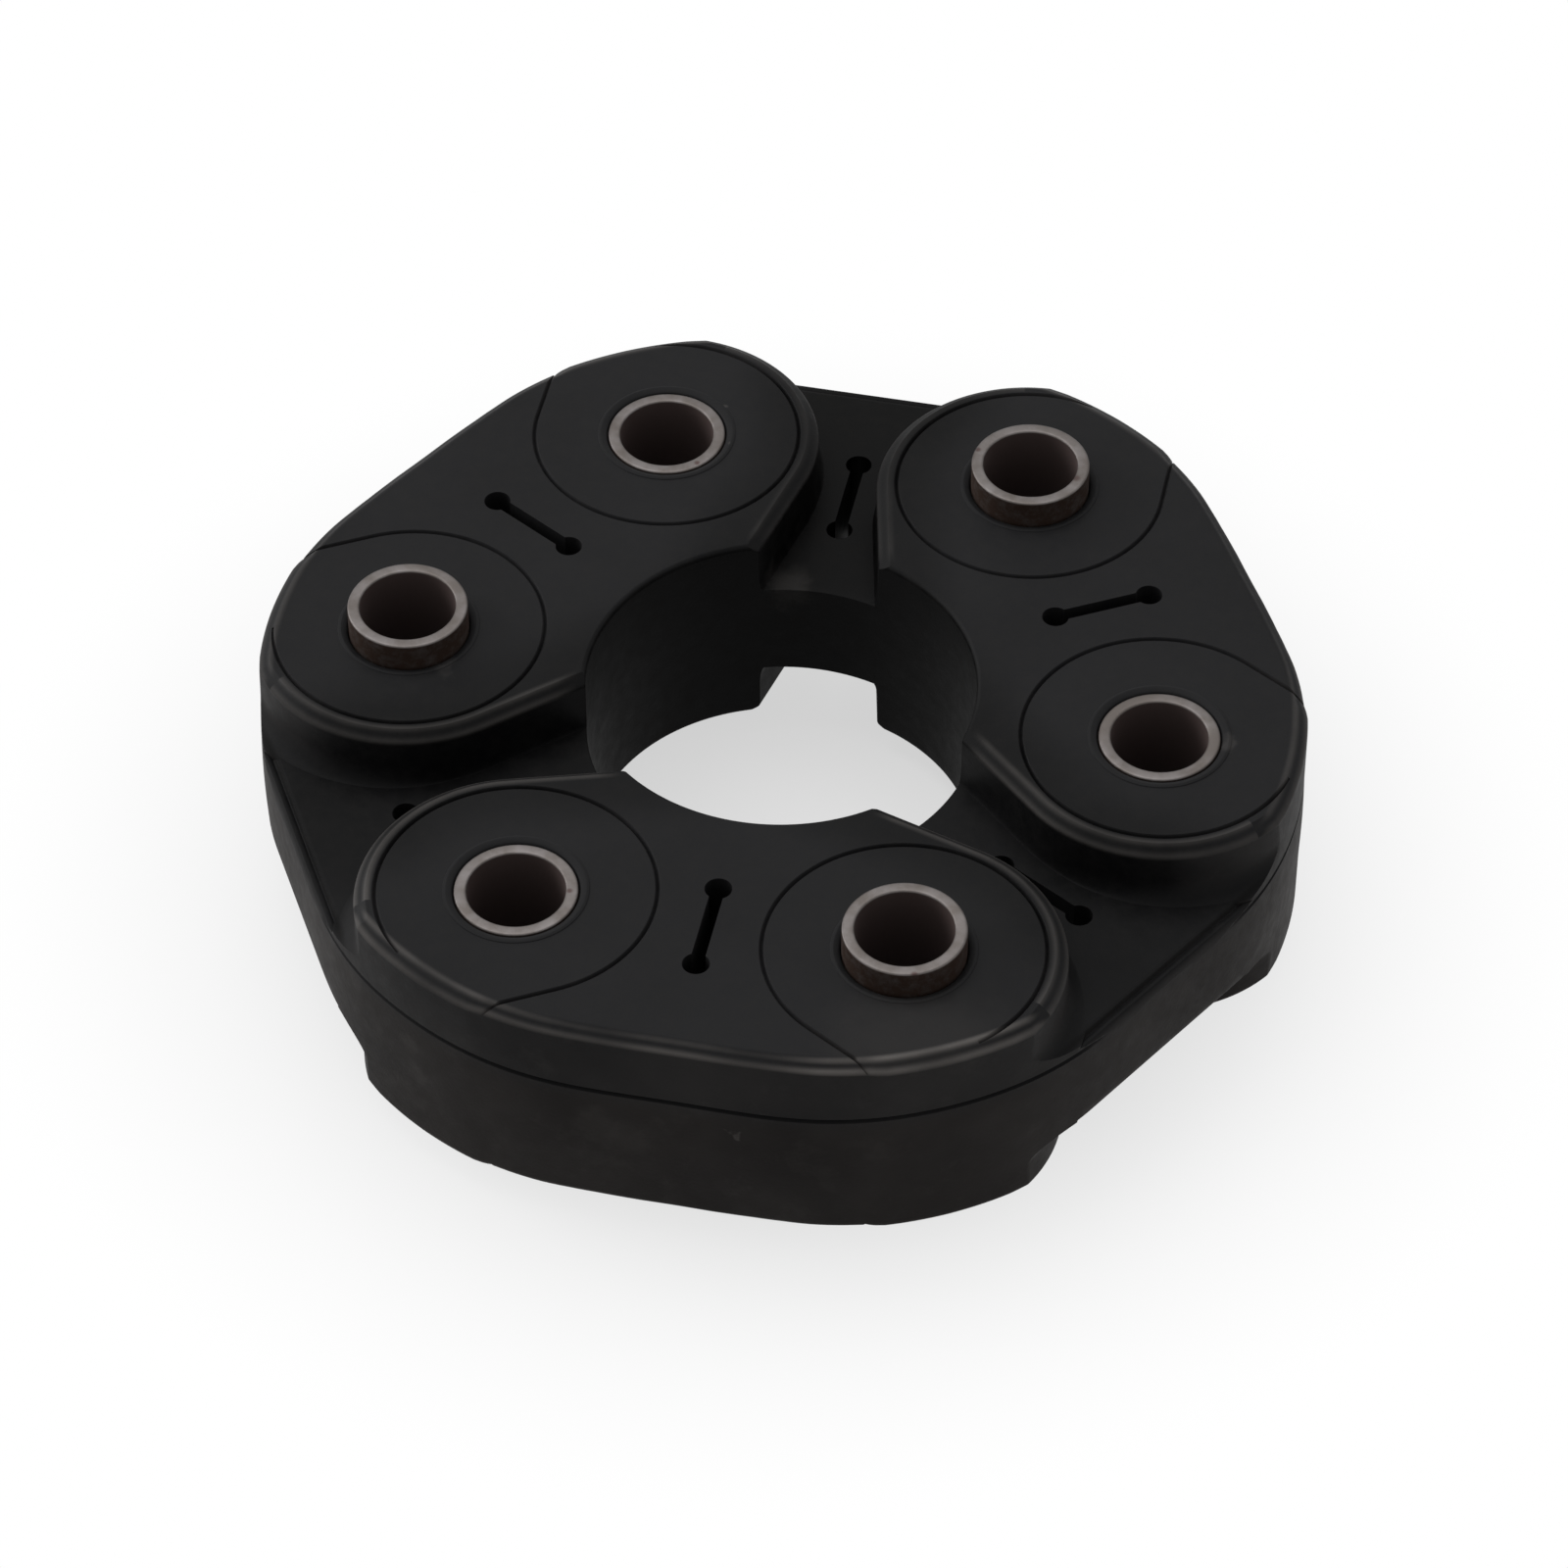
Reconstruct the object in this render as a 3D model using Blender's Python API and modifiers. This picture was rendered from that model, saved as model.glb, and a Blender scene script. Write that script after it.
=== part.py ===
"""Driveshaft flex disc: a moulded rubber coupling with six steel bolt sleeves and wound cord loops inside.

The disc lies in the XY plane, with its axis on Z and its middle plane at z = 0.
Sleeve 1 is on +X. Thick pads and thin webs follow each other between the sleeves.
"""
from math import cos, pi, radians, sin, sqrt

import bmesh
import bpy
from mathutils import Matrix

MM = 0.001

# Bolt pattern
SLEEVE_COUNT = 6
PITCH_RADIUS = 48.0 * MM

# Rubber body
BODY_THICKNESS = 30.0 * MM
VALLEY_DEPTH = 8.0 * MM
HOLE_RADIUS = 24.5 * MM
HOLE_CHAMFER = 0.7 * MM
SLEEVE_MARGIN = 18.1 * MM
FLANK_MARGIN = 21.93 * MM
WALL_FULLNESS = 0.2 * MM
EDGE_INSET = 1.55 * MM
EDGE_DROP = 1.1 * MM
FLANK_LEAN = 0.7 * MM
BELT_BULGE = 0.15 * MM

# Line moulded round the pads' side wall, above the middle
LINE_BELOW_FLOOR = 1.2 * MM
LINE_WIDTH = 0.5 * MM
LINE_DEPTH = 0.5 * MM

# Ends of the pads, round the sleeves
PAD_END_RADIUS = 19.8 * MM
PAD_END_CHAMFER = 1.0 * MM
PAD_FOOT_FILLET = 3.0 * MM
PAD_INNER_SLANT = radians(12.6)

# Edges of the thin webs
SHOULDER_SETBACK = 1.25 * MM
SHOULDER_DROP = 2.4 * MM
GUTTER_WIDTH = 1.4 * MM
GUTTER_DEPTH = 0.6 * MM
WEB_LIP = 1.3 * MM

# Slits between the sleeves
SLIT_INNER_OFFSET = 5.1 * MM
SLIT_OUTER_OFFSET = 7.5 * MM
SLIT_END_RADIUS = 1.7 * MM
SLIT_WIDTH = 1.6 * MM

# Round groove about each sleeve
RING_GROOVE_RADIUS = 17.5 * MM
RING_GROOVE_WIDTH = 0.6 * MM
RING_GROOVE_DEPTH = 0.6 * MM

# Bolt sleeves
BORE_RADIUS = 6.05 * MM
SLEEVE_WALL = 1.55 * MM
SLEEVE_PROUD = 3.65 * MM
SLEEVE_CHAMFER = 0.4 * MM

# Inserts inside the rubber
FIT_GAP = 0.3 * MM
BUSH_WALL = 2.0 * MM
FLANGE_THICKNESS = 0.8 * MM
FLANGE_WIDTH = 3.4 * MM
BUSH_END_COVER = 2.8 * MM
PAD_CORD_COVER = 3.7 * MM
WEB_CORD_COVER = 3.7 * MM
HOLE_CORD_COVER = 2.2 * MM

# Facets
OUTLINE_STEPS = 66
HOLE_STEPS = 60
PAD_END_STEPS = 10
FILLET_STEPS = 3
SHOULDER_STEPS = 4
SLIT_END_STEPS = 6
GROOVE_STEPS = 28
SLEEVE_STEPS = 24
BUSH_STEPS = 14
LOOP_END_STEPS = 7

# What follows from the sizes above
HALF_BODY = BODY_THICKNESS / 2
HALF_WEB = HALF_BODY - VALLEY_DEPTH
HALF_STEP = pi / SLEEVE_COUNT
LINK_REACH = PITCH_RADIUS * sin(HALF_STEP)
LINK_DISTANCE = PITCH_RADIUS * cos(HALF_STEP)
WALL_AT_SLEEVE = PITCH_RADIUS + SLEEVE_MARGIN
WALL_AT_FLANK = LINK_DISTANCE + FLANK_MARGIN
SLEEVE_RADIUS = BORE_RADIUS + SLEEVE_WALL
BUSH_BORE = SLEEVE_RADIUS + FIT_GAP
BUSH_RADIUS = BUSH_BORE + BUSH_WALL
BUSH_TOP = HALF_BODY - BUSH_END_COVER
FLANGE_RADIUS = BUSH_RADIUS + FLANGE_WIDTH
LOOP_INNER = BUSH_RADIUS + FIT_GAP
LOOP_OUTER = LINK_DISTANCE - HOLE_RADIUS - HOLE_CORD_COVER
WEB_LOOP_TOP = HALF_WEB - WEB_CORD_COVER
FLANGE_BOTTOM = WEB_LOOP_TOP + FIT_GAP
FLANGE_TOP = FLANGE_BOTTOM + FLANGE_THICKNESS
PAD_LOOP_BOTTOM = FLANGE_TOP + FIT_GAP
PAD_LOOP_TOP = HALF_BODY - PAD_CORD_COVER
PAST = 2.0 * MM
SINK = 0.05 * MM

# Directions of what repeats, seen from the disc's axis
SLEEVE_ANGLES = [2 * HALF_STEP * i for i in range(SLEEVE_COUNT)]
LINK_ANGLES = [angle + HALF_STEP for angle in SLEEVE_ANGLES]
PAD_ANGLES = LINK_ANGLES[0::2]
WEB_ANGLES = LINK_ANGLES[1::2]


def clear_scene():
    for item in list(bpy.data.objects):
        bpy.data.objects.remove(item, do_unlink=True)


def make_collection(name, parent):
    collection = bpy.data.collections.new(name)
    parent.children.link(collection)
    return collection


def make_material(name, color, roughness, metallic=0.0):
    material = bpy.data.materials.new(name)
    material.use_nodes = True
    shader = material.node_tree.nodes["Principled BSDF"]
    shader.inputs["Base Color"].default_value = (*color, 1.0)
    shader.inputs["Roughness"].default_value = roughness
    shader.inputs["Metallic"].default_value = metallic
    material.diffuse_color = (*color, 1.0)
    return material


def mesh_from(name, bm):
    """Turn a finished bmesh into a mesh."""
    bmesh.ops.recalc_face_normals(bm, faces=bm.faces)
    mesh = bpy.data.meshes.new(name)
    bm.to_mesh(mesh)
    bm.free()
    return mesh


def add_object(name, mesh, collection, matrix=None, material=None):
    item = bpy.data.objects.new(name, mesh)
    if matrix:
        item.matrix_world = matrix
    if material and not mesh.materials:
        mesh.materials.append(material)
    collection.objects.link(item)
    return item


def add_cutter(name, mesh, collection, matrix=None):
    item = add_object(name, mesh, collection, matrix)
    item.hide_render = True
    item.display_type = "WIRE"
    return item


def cut_with(item, cutters):
    """Subtract an object, or every object of a collection, with a Boolean modifier."""
    boolean = item.modifiers.new(cutters.name, "BOOLEAN")
    boolean.operation = "DIFFERENCE"
    boolean.solver = "EXACT"
    if isinstance(cutters, bpy.types.Collection):
        boolean.operand_type = "COLLECTION"
        boolean.collection = cutters
    else:
        boolean.object = cutters


def shaped_mesh(item):
    """The mesh of an object with its modifiers applied."""
    graph = bpy.context.evaluated_depsgraph_get()
    return bpy.data.meshes.new_from_object(item.evaluated_get(graph))


def closed_edges(bm, points):
    verts = [bm.verts.new(point) for point in points]
    return [bm.edges.new((verts[i - 1], verts[i])) for i in range(len(verts))]


def stacked(name, sections):
    """A closed solid through sections of equal point counts, bridged one to the next."""
    bm = bmesh.new()
    loops = [closed_edges(bm, section) for section in sections]
    for lower, upper in zip(loops, loops[1:]):
        bmesh.ops.bridge_loops(bm, edges=lower + upper)
    for end in (loops[0], loops[-1]):
        bmesh.ops.contextual_create(bm, geom=end)
    return mesh_from(name, bm)


def prism(name, outline, bottom, top):
    """An outline in the XY plane, extruded along Z."""
    bm = bmesh.new()
    face = bm.faces.new([bm.verts.new((x, y, bottom)) for x, y in outline])
    extruded = bmesh.ops.extrude_face_region(bm, geom=[face], use_keep_orig=True)["geom"]
    verts = [part for part in extruded if isinstance(part, bmesh.types.BMVert)]
    bmesh.ops.translate(bm, verts=verts, vec=(0, 0, top - bottom))
    return mesh_from(name, bm)


def profile_mesh(name, profile, closed):
    """A profile in the XZ plane, for a Screw modifier."""
    bm = bmesh.new()
    verts = [bm.verts.new((radius, 0, height)) for radius, height in profile]
    for first, second in zip(verts, verts[1:]):
        bm.edges.new((first, second))
    if closed:
        bm.edges.new((verts[-1], verts[0]))
    mesh = bpy.data.meshes.new(name)
    bm.to_mesh(mesh)
    bm.free()
    return mesh


def add_turning(item, steps):
    """Turn an object's profile round its own Z axis."""
    screw = item.modifiers.new("Turning", "SCREW")
    screw.axis = "Z"
    screw.angle = 2 * pi
    screw.steps = steps
    screw.render_steps = steps
    screw.use_merge_vertices = True
    screw.merge_threshold = 0.0001 * MM
    screw.use_smooth_shade = False


def turned_out(angle, radius=0.0, height=0.0):
    """The place of something set out from the disc's axis in one direction."""
    return Matrix.Rotation(angle, 4, "Z") @ Matrix.Translation((radius, 0, height))


def both_faces(matrix):
    """A place on the upper face and its like on the lower face."""
    return matrix, matrix @ Matrix.Rotation(pi, 4, "X")


def wall_distance(angle):
    """Distance of the side wall from the axis: widest at the sleeves, flatter between them."""
    middle = (WALL_AT_SLEEVE + WALL_AT_FLANK) / 2 + WALL_FULLNESS
    swing = (WALL_AT_SLEEVE - WALL_AT_FLANK) / 2
    turn = SLEEVE_COUNT * angle
    return middle + swing * cos(turn) - WALL_FULLNESS * cos(2 * turn)


def between_sleeves(angle):
    """0 at a sleeve, rising to 1 half way to the next."""
    return (1 - cos(SLEEVE_COUNT * angle)) / 2


def on_pad(angle):
    """1 along a pad's wall, falling to 0 along a web's."""
    return min(max((sin(SLEEVE_COUNT / 2 * angle) + 0.87) / 0.2, 0), 1)


def wall_section(height, offset, lean, line):
    """One level of the side wall, set out from its plain distance by an offset, a lean and a line."""
    points = []
    for i in range(OUTLINE_STEPS):
        angle = 2 * pi * i / OUTLINE_STEPS
        reach = wall_distance(angle) - offset - lean * between_sleeves(angle) - line * on_pad(angle)
        points.append((reach * cos(angle), reach * sin(angle), height))
    return points


def wall_levels():
    """Height, offset, lean and line depth of each level: lower edge, belt, moulded line, upper edge."""
    line = HALF_WEB - LINE_BELOW_FLOOR
    edge = HALF_BODY - EDGE_DROP
    return [
        (-HALF_BODY, EDGE_INSET, 0.0, 0.0),
        (-edge, 0.0, FLANK_LEAN, 0.0),
        (-line, 0.0, 0.0, 0.0),
        (0.0, -BELT_BULGE, 0.0, 0.0),
        (line - LINE_WIDTH / 2, 0.0, 0.0, 0.0),
        (line, 0.0, 0.0, LINE_DEPTH),
        (line + LINE_WIDTH / 2, 0.0, 0.0, 0.0),
        (edge, 0.0, FLANK_LEAN, 0.0),
        (HALF_BODY, EDGE_INSET, 0.0, 0.0),
    ]


def pad_end_levels():
    """Heights and radii of a pad's end: sunk foot, fillet, wall and bevelled edge, run past the top."""
    foot = [(0.0, PAD_END_RADIUS + PAD_FOOT_FILLET)]
    for i in range(FILLET_STEPS + 1):
        turn = pi / 2 * i / FILLET_STEPS
        height = HALF_WEB - SINK + PAD_FOOT_FILLET * (1 - cos(turn))
        foot.append((height, PAD_END_RADIUS + PAD_FOOT_FILLET * (1 - sin(turn))))
    edge = [(HALF_BODY - PAD_END_CHAMFER, PAD_END_RADIUS)]
    past = [(HALF_BODY + PAST, PAD_END_RADIUS - PAD_END_CHAMFER - PAST)]
    return foot + edge + past


def pad_end_section(height, radius, side):
    """Round the sleeve on the web's side, then straight inwards, and closed far inside the pad."""
    first, last = radians(40), -(pi / 2 + PAD_INNER_SLANT)
    turns = [first + (last - first) * i / PAD_END_STEPS for i in range(PAD_END_STEPS + 1)]
    points = [(LINK_DISTANCE + radius * cos(t), LINK_REACH + radius * sin(t)) for t in turns]
    x, y = points[-1]
    inner = HOLE_RADIUS / 2
    points.append((inner, y + (x - inner) * sin(PAD_INNER_SLANT) / cos(PAD_INNER_SLANT)))
    far = LINK_REACH + PAD_END_RADIUS * 2
    points.append((inner, far))
    points.append((points[0][0], far))
    return [(x, side * y, height) for x, y in points]


def web_edge_profile():
    """The web's surface in a radial section: the lip at the hole, floor, gutter and rounded shoulder."""
    lip = HOLE_RADIUS + WEB_LIP
    quarter = WEB_LIP * sqrt(0.5)
    slope = WEB_LIP * 3
    inner_top = (lip - quarter, HALF_WEB - WEB_LIP + quarter)
    points = [
        (HOLE_RADIUS / 2, inner_top[1] - slope),
        (inner_top[0] - slope, inner_top[1] - slope),
        inner_top,
        (lip - WEB_LIP * 0.38, HALF_WEB - WEB_LIP * 0.08),
        (lip, HALF_WEB),
    ]
    edge = WALL_AT_FLANK - SHOULDER_SETBACK
    points.append((edge - GUTTER_WIDTH / 2, HALF_WEB))
    points.append((edge - GUTTER_WIDTH / 5, HALF_WEB - GUTTER_DEPTH))
    points.append((edge + GUTTER_WIDTH / 5, HALF_WEB - GUTTER_DEPTH))
    start = (edge + GUTTER_WIDTH / 2, HALF_WEB - GUTTER_DEPTH * 0.65)
    reach = WALL_AT_FLANK + BELT_BULGE - start[0]
    for i in range(SHOULDER_STEPS + 1):
        turn = pi / 2 * i / SHOULDER_STEPS
        points.append((start[0] + reach * sin(turn), start[1] - SHOULDER_DROP * (1 - cos(turn))))
    points.append((WALL_AT_SLEEVE * 1.1, points[-1][1]))
    return points


def valley_mesh(cutters):
    """What is taken away over a web: a wedge between two sleeves, less the ends of the pads."""
    top = HALF_BODY + PAST * 0.75
    profile = web_edge_profile()
    profile = profile + [(profile[-1][0], top), (profile[0][0], top)]
    spread = sin(HALF_STEP) / cos(HALF_STEP)
    wedge = stacked("valley", [[(x, side * x * spread, z) for x, z in profile] for side in (-1, 1)])
    item = add_cutter("valley_wedge", wedge, cutters)
    for side, name in ((-1, "pad_end_right"), (1, "pad_end_left")):
        sections = [pad_end_section(height, radius, side) for height, radius in pad_end_levels()]
        cut_with(item, add_cutter(name, stacked(name, sections), cutters))
    return shaped_mesh(item)


def hole_profile():
    flare = HALF_BODY + PAST
    return [
        (0.0, flare),
        (HOLE_RADIUS + HOLE_CHAMFER + PAST, flare),
        (HOLE_RADIUS, HALF_BODY - HOLE_CHAMFER),
        (HOLE_RADIUS, HOLE_CHAMFER - HALF_BODY),
        (HOLE_RADIUS + HOLE_CHAMFER + PAST, -flare),
        (0.0, -flare),
    ]


def slit_outline():
    """A radial slot with a round hole at each end."""
    mouth = SLIT_WIDTH / 2 / SLIT_END_RADIUS
    opening = mouth * (1 + mouth * mouth / 6)
    points = []
    for centre, facing in ((LINK_DISTANCE + SLIT_OUTER_OFFSET, pi), (LINK_DISTANCE - SLIT_INNER_OFFSET, 0.0)):
        sweep = 2 * (pi - opening)
        for i in range(SLIT_END_STEPS + 1):
            turn = facing + opening + sweep * i / SLIT_END_STEPS
            points.append((centre + SLIT_END_RADIUS * cos(turn), SLIT_END_RADIUS * sin(turn)))
    return points


def groove_profile():
    half = RING_GROOVE_WIDTH / 2
    rise = half
    return [
        (RING_GROOVE_RADIUS + half * 2, HALF_BODY + rise),
        (RING_GROOVE_RADIUS, HALF_BODY - RING_GROOVE_DEPTH),
        (RING_GROOVE_RADIUS - half * 2, HALF_BODY + rise),
    ]


def sleeve_profile():
    """A plain tube with bevelled ends."""
    half = (BODY_THICKNESS + SLEEVE_PROUD) / 2
    low = half - SLEEVE_CHAMFER
    return [
        (SLEEVE_RADIUS - SLEEVE_CHAMFER, half),
        (SLEEVE_RADIUS, low),
        (SLEEVE_RADIUS, -low),
        (SLEEVE_RADIUS - SLEEVE_CHAMFER, -half),
        (BORE_RADIUS + SLEEVE_CHAMFER, -half),
        (BORE_RADIUS, -low),
        (BORE_RADIUS, low),
        (BORE_RADIUS + SLEEVE_CHAMFER, half),
    ]


def bush_outside(gap):
    """The collar bush's outer side from top to bottom, grown by a gap for the rubber's cavity."""
    core = BUSH_RADIUS + gap
    collar = FLANGE_RADIUS + gap
    upper = [
        (core, BUSH_TOP + gap),
        (core, FLANGE_TOP + gap),
        (collar, FLANGE_TOP + gap),
        (collar, FLANGE_BOTTOM - gap),
        (core, FLANGE_BOTTOM - gap),
    ]
    return upper + [(radius, -height) for radius, height in reversed(upper)]


def bush_profile():
    return bush_outside(0.0) + [(BUSH_BORE, -BUSH_TOP), (BUSH_BORE, BUSH_TOP)]


def cavity_profile():
    """The room for a collar bush."""
    neck = BUSH_TOP + FIT_GAP
    return [(0.0, neck)] + bush_outside(FIT_GAP) + [(0.0, -neck)]


def sleeve_hole_profile():
    """The hole for a sleeve, open through both faces of the rubber."""
    top = HALF_BODY + PAST
    return [(0.0, top), (SLEEVE_RADIUS + FIT_GAP, top), (SLEEVE_RADIUS + FIT_GAP, -top), (0.0, -top)]


def loop_mesh(name, inner, outer, bottom, top):
    """A wound loop: its section is spun round one sleeve, run to the next, spun there and run back."""
    bm = bmesh.new()
    corners = [(inner, bottom), (outer, bottom), (outer, top), (inner, top)]
    section = closed_edges(bm, [(-radius, LINK_REACH, height) for radius, height in corners])
    start = section
    for side in (1, -1):
        spun = bmesh.ops.spin(
            bm,
            geom=section,
            cent=(0, side * LINK_REACH, 0),
            axis=(0, 0, 1),
            angle=-pi,
            steps=LOOP_END_STEPS,
        )["geom_last"]
        section = [part for part in spun if isinstance(part, bmesh.types.BMEdge)]
        if side == 1:
            run = bmesh.ops.extrude_edge_only(bm, edges=section)["geom"]
            verts = [part for part in run if isinstance(part, bmesh.types.BMVert)]
            bmesh.ops.translate(bm, verts=verts, vec=(0, -2 * LINK_REACH, 0))
            section = [edge for edge in bm.edges if all(vert in verts for vert in edge.verts)]
    bmesh.ops.bridge_loops(bm, edges=section + start)
    return mesh_from(name, bm)


def build_body(collection, cutters, rubber):
    sections = [wall_section(*level) for level in wall_levels()]
    body = add_object("rubber_body", stacked("rubber_body", sections), collection, material=rubber)

    hole = add_cutter("centre_hole", profile_mesh("centre_hole", hole_profile(), False), cutters)
    add_turning(hole, HOLE_STEPS)
    cut_with(body, hole)

    valleys = make_collection("valleys", cutters)
    valley = valley_mesh(cutters)
    for number, angle in enumerate(WEB_ANGLES, 1):
        for face, place in zip(("upper", "lower"), both_faces(turned_out(angle))):
            add_cutter(f"valley_{face}_{number}", valley, valleys, place)
    cut_with(body, valleys)

    turnings = (
        ("bush_cavity", cavity_profile(), BUSH_STEPS),
        ("sleeve_hole", sleeve_hole_profile(), SLEEVE_STEPS),
    )
    for name, profile, steps in turnings:
        group = make_collection(f"{name}_cutters", cutters)
        mesh = profile_mesh(name, profile, False)
        for number, angle in enumerate(SLEEVE_ANGLES, 1):
            item = add_cutter(f"{name}_{number}", mesh, group, turned_out(angle, PITCH_RADIUS))
            add_turning(item, steps)
        cut_with(body, group)

    cords = make_collection("cord_cavities", cutters)
    for name, angles, bottom, top in loop_layers():
        low, high = bottom - FIT_GAP, top + FIT_GAP
        mesh = loop_mesh(f"{name}_cavity", LOOP_INNER - FIT_GAP, LOOP_OUTER + FIT_GAP, low, high)
        for number, angle in enumerate(angles, 1):
            add_cutter(f"{name}_cavity_{number}", mesh, cords, turned_out(angle, LINK_DISTANCE))
    cut_with(body, cords)

    slits = make_collection("slits", cutters)
    slit = prism("slit", slit_outline(), -HALF_BODY - PAST, HALF_BODY + PAST)
    for number, angle in enumerate(LINK_ANGLES, 1):
        add_cutter(f"slit_{number}", slit, slits, turned_out(angle))
    cut_with(body, slits)

    grooves = make_collection("ring_grooves", cutters)
    groove = profile_mesh("ring_groove", groove_profile(), True)
    for number, angle in enumerate(SLEEVE_ANGLES, 1):
        for face, place in zip(("upper", "lower"), both_faces(turned_out(angle, PITCH_RADIUS))):
            item = add_cutter(f"ring_groove_{face}_{number}", groove, grooves, place)
            add_turning(item, GROOVE_STEPS)
    cut_with(body, grooves)


def loop_layers():
    """Name, directions, bottom and top of each layer of cord loops."""
    return (
        ("pad_cord_loop_upper", PAD_ANGLES, PAD_LOOP_BOTTOM, PAD_LOOP_TOP),
        ("pad_cord_loop_lower", PAD_ANGLES, -PAD_LOOP_TOP, -PAD_LOOP_BOTTOM),
        ("web_cord_loop", WEB_ANGLES, -WEB_LOOP_TOP, WEB_LOOP_TOP),
    )


def build_sleeves(collection, steel):
    """Sleeves stand proud of the lower and the upper face in turn, for the two shaft flanges."""
    mesh = profile_mesh("bolt_sleeve", sleeve_profile(), True)
    for number, angle in enumerate(SLEEVE_ANGLES, 1):
        height = SLEEVE_PROUD / 2 if number % 2 == 0 else -SLEEVE_PROUD / 2
        place = turned_out(angle, PITCH_RADIUS, height)
        add_turning(add_object(f"bolt_sleeve_{number}", mesh, collection, place, steel), SLEEVE_STEPS)


def build_bushes(collection, polymer):
    mesh = profile_mesh("collar_bush", bush_profile(), True)
    for number, angle in enumerate(SLEEVE_ANGLES, 1):
        place = turned_out(angle, PITCH_RADIUS)
        add_turning(add_object(f"collar_bush_{number}", mesh, collection, place, polymer), BUSH_STEPS)


def build_loops(collection, cord):
    for name, angles, bottom, top in loop_layers():
        mesh = loop_mesh(name, LOOP_INNER, LOOP_OUTER, bottom, top)
        for number, angle in enumerate(angles, 1):
            add_object(f"{name}_{number}", mesh, collection, turned_out(angle, LINK_DISTANCE), cord)


def main():
    clear_scene()
    scene = bpy.context.scene.collection
    disc = make_collection("driveshaft_flex_disc", scene)
    cutters = make_collection("cutters", scene)

    rubber = make_material("black_rubber", (0.018, 0.018, 0.019), 0.55)
    steel = make_material("plated_steel", (0.42, 0.40, 0.38), 0.4, metallic=1.0)
    polymer = make_material("moulded_polymer", (0.24, 0.22, 0.19), 0.5)
    cord = make_material("wound_cord", (0.50, 0.45, 0.34), 0.8)

    build_body(disc, cutters, rubber)
    build_sleeves(disc, steel)
    build_bushes(disc, polymer)
    build_loops(disc, cord)


main()
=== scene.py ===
"""Driveshaft flex disc, dressed for a close look.

The moulded rubber disc, its six steel bolt sleeves, and the collar bushes and wound cord loops bedded in
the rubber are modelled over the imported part, then set on a pale studio floor.
"""
from math import atan2, cos, degrees, pi, radians, sin, sqrt, tan

import bmesh
import bpy
from bpy.props import FloatProperty, FloatVectorProperty, PointerProperty
from bpy.types import Operator, Panel, PropertyGroup
from mathutils import Matrix, Vector


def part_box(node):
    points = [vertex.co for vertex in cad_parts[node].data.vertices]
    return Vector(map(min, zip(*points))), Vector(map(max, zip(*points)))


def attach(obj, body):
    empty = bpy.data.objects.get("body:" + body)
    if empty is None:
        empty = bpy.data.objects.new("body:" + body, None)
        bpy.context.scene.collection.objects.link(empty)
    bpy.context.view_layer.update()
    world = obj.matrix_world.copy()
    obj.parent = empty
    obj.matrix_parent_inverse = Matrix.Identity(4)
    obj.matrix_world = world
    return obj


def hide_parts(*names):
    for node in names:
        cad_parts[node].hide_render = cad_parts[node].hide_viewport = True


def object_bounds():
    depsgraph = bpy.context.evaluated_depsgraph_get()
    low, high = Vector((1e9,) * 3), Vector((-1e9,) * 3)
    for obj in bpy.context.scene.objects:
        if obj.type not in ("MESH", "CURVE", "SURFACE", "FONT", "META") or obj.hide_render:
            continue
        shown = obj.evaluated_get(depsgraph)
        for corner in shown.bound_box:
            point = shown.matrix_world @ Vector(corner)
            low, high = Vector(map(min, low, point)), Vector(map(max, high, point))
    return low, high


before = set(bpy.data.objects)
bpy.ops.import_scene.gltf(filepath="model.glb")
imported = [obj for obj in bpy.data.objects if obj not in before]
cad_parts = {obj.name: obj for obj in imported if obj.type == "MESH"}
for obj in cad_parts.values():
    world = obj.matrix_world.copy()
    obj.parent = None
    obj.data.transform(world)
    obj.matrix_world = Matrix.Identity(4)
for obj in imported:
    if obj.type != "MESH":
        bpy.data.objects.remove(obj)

bl_info = {
    "name": "Driveshaft Flex Disc",
    "version": (1, 0, 0),
    "blender": (4, 5, 0),
    "location": "3D View > Sidebar > Flex Disc",
    "description": "Models a moulded rubber driveshaft coupling with steel bolt sleeves and wound cord loops",
    "category": "Mesh",
}

MM = 0.001
CAD_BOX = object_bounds()
SLEEVES = 6
HALF_STEP = pi / SLEEVES
# How far a cutting tool runs on past the face that it cuts
PAST = 2.0 * MM
# How far a hole's mouth is rounded before it runs on straight
MOUTH_TURN = radians(66)
# Angle between a pad's straight end and the middle line of the web beside it
END_SLANT = radians(12.6)
# The slits' end holes, outwards and inwards from the middle between two sleeves
SLIT_OUT, SLIT_IN = 7.5 * MM, 5.1 * MM
# Small roundings of the moulded edges and of the sleeves' ends
EDGE_ROUNDING, SLEEVE_ROUNDING = 0.36 * MM, 0.34 * MM
# The moulded line round the pads
LINE_HALF_WIDTH, LINE_DEPTH = 0.34 * MM, 0.5 * MM


def linear(code):
    """An sRGB hex colour as linear red, green and blue."""
    values = [int(code[i:i + 2], 16) / 255 for i in (0, 2, 4)]
    return tuple(v / 12.92 if v <= 0.04045 else ((v + 0.055) / 1.055) ** 2.4 for v in values)


def length(name, description, millimetres):
    return FloatProperty(
        name=name, description=description, default=millimetres * MM, min=0.0, subtype="DISTANCE", unit="LENGTH"
    )


def colour(name, description, code):
    return FloatVectorProperty(
        name=name, description=description, default=linear(code), size=3, min=0.0, max=1.0, subtype="COLOR"
    )


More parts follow.
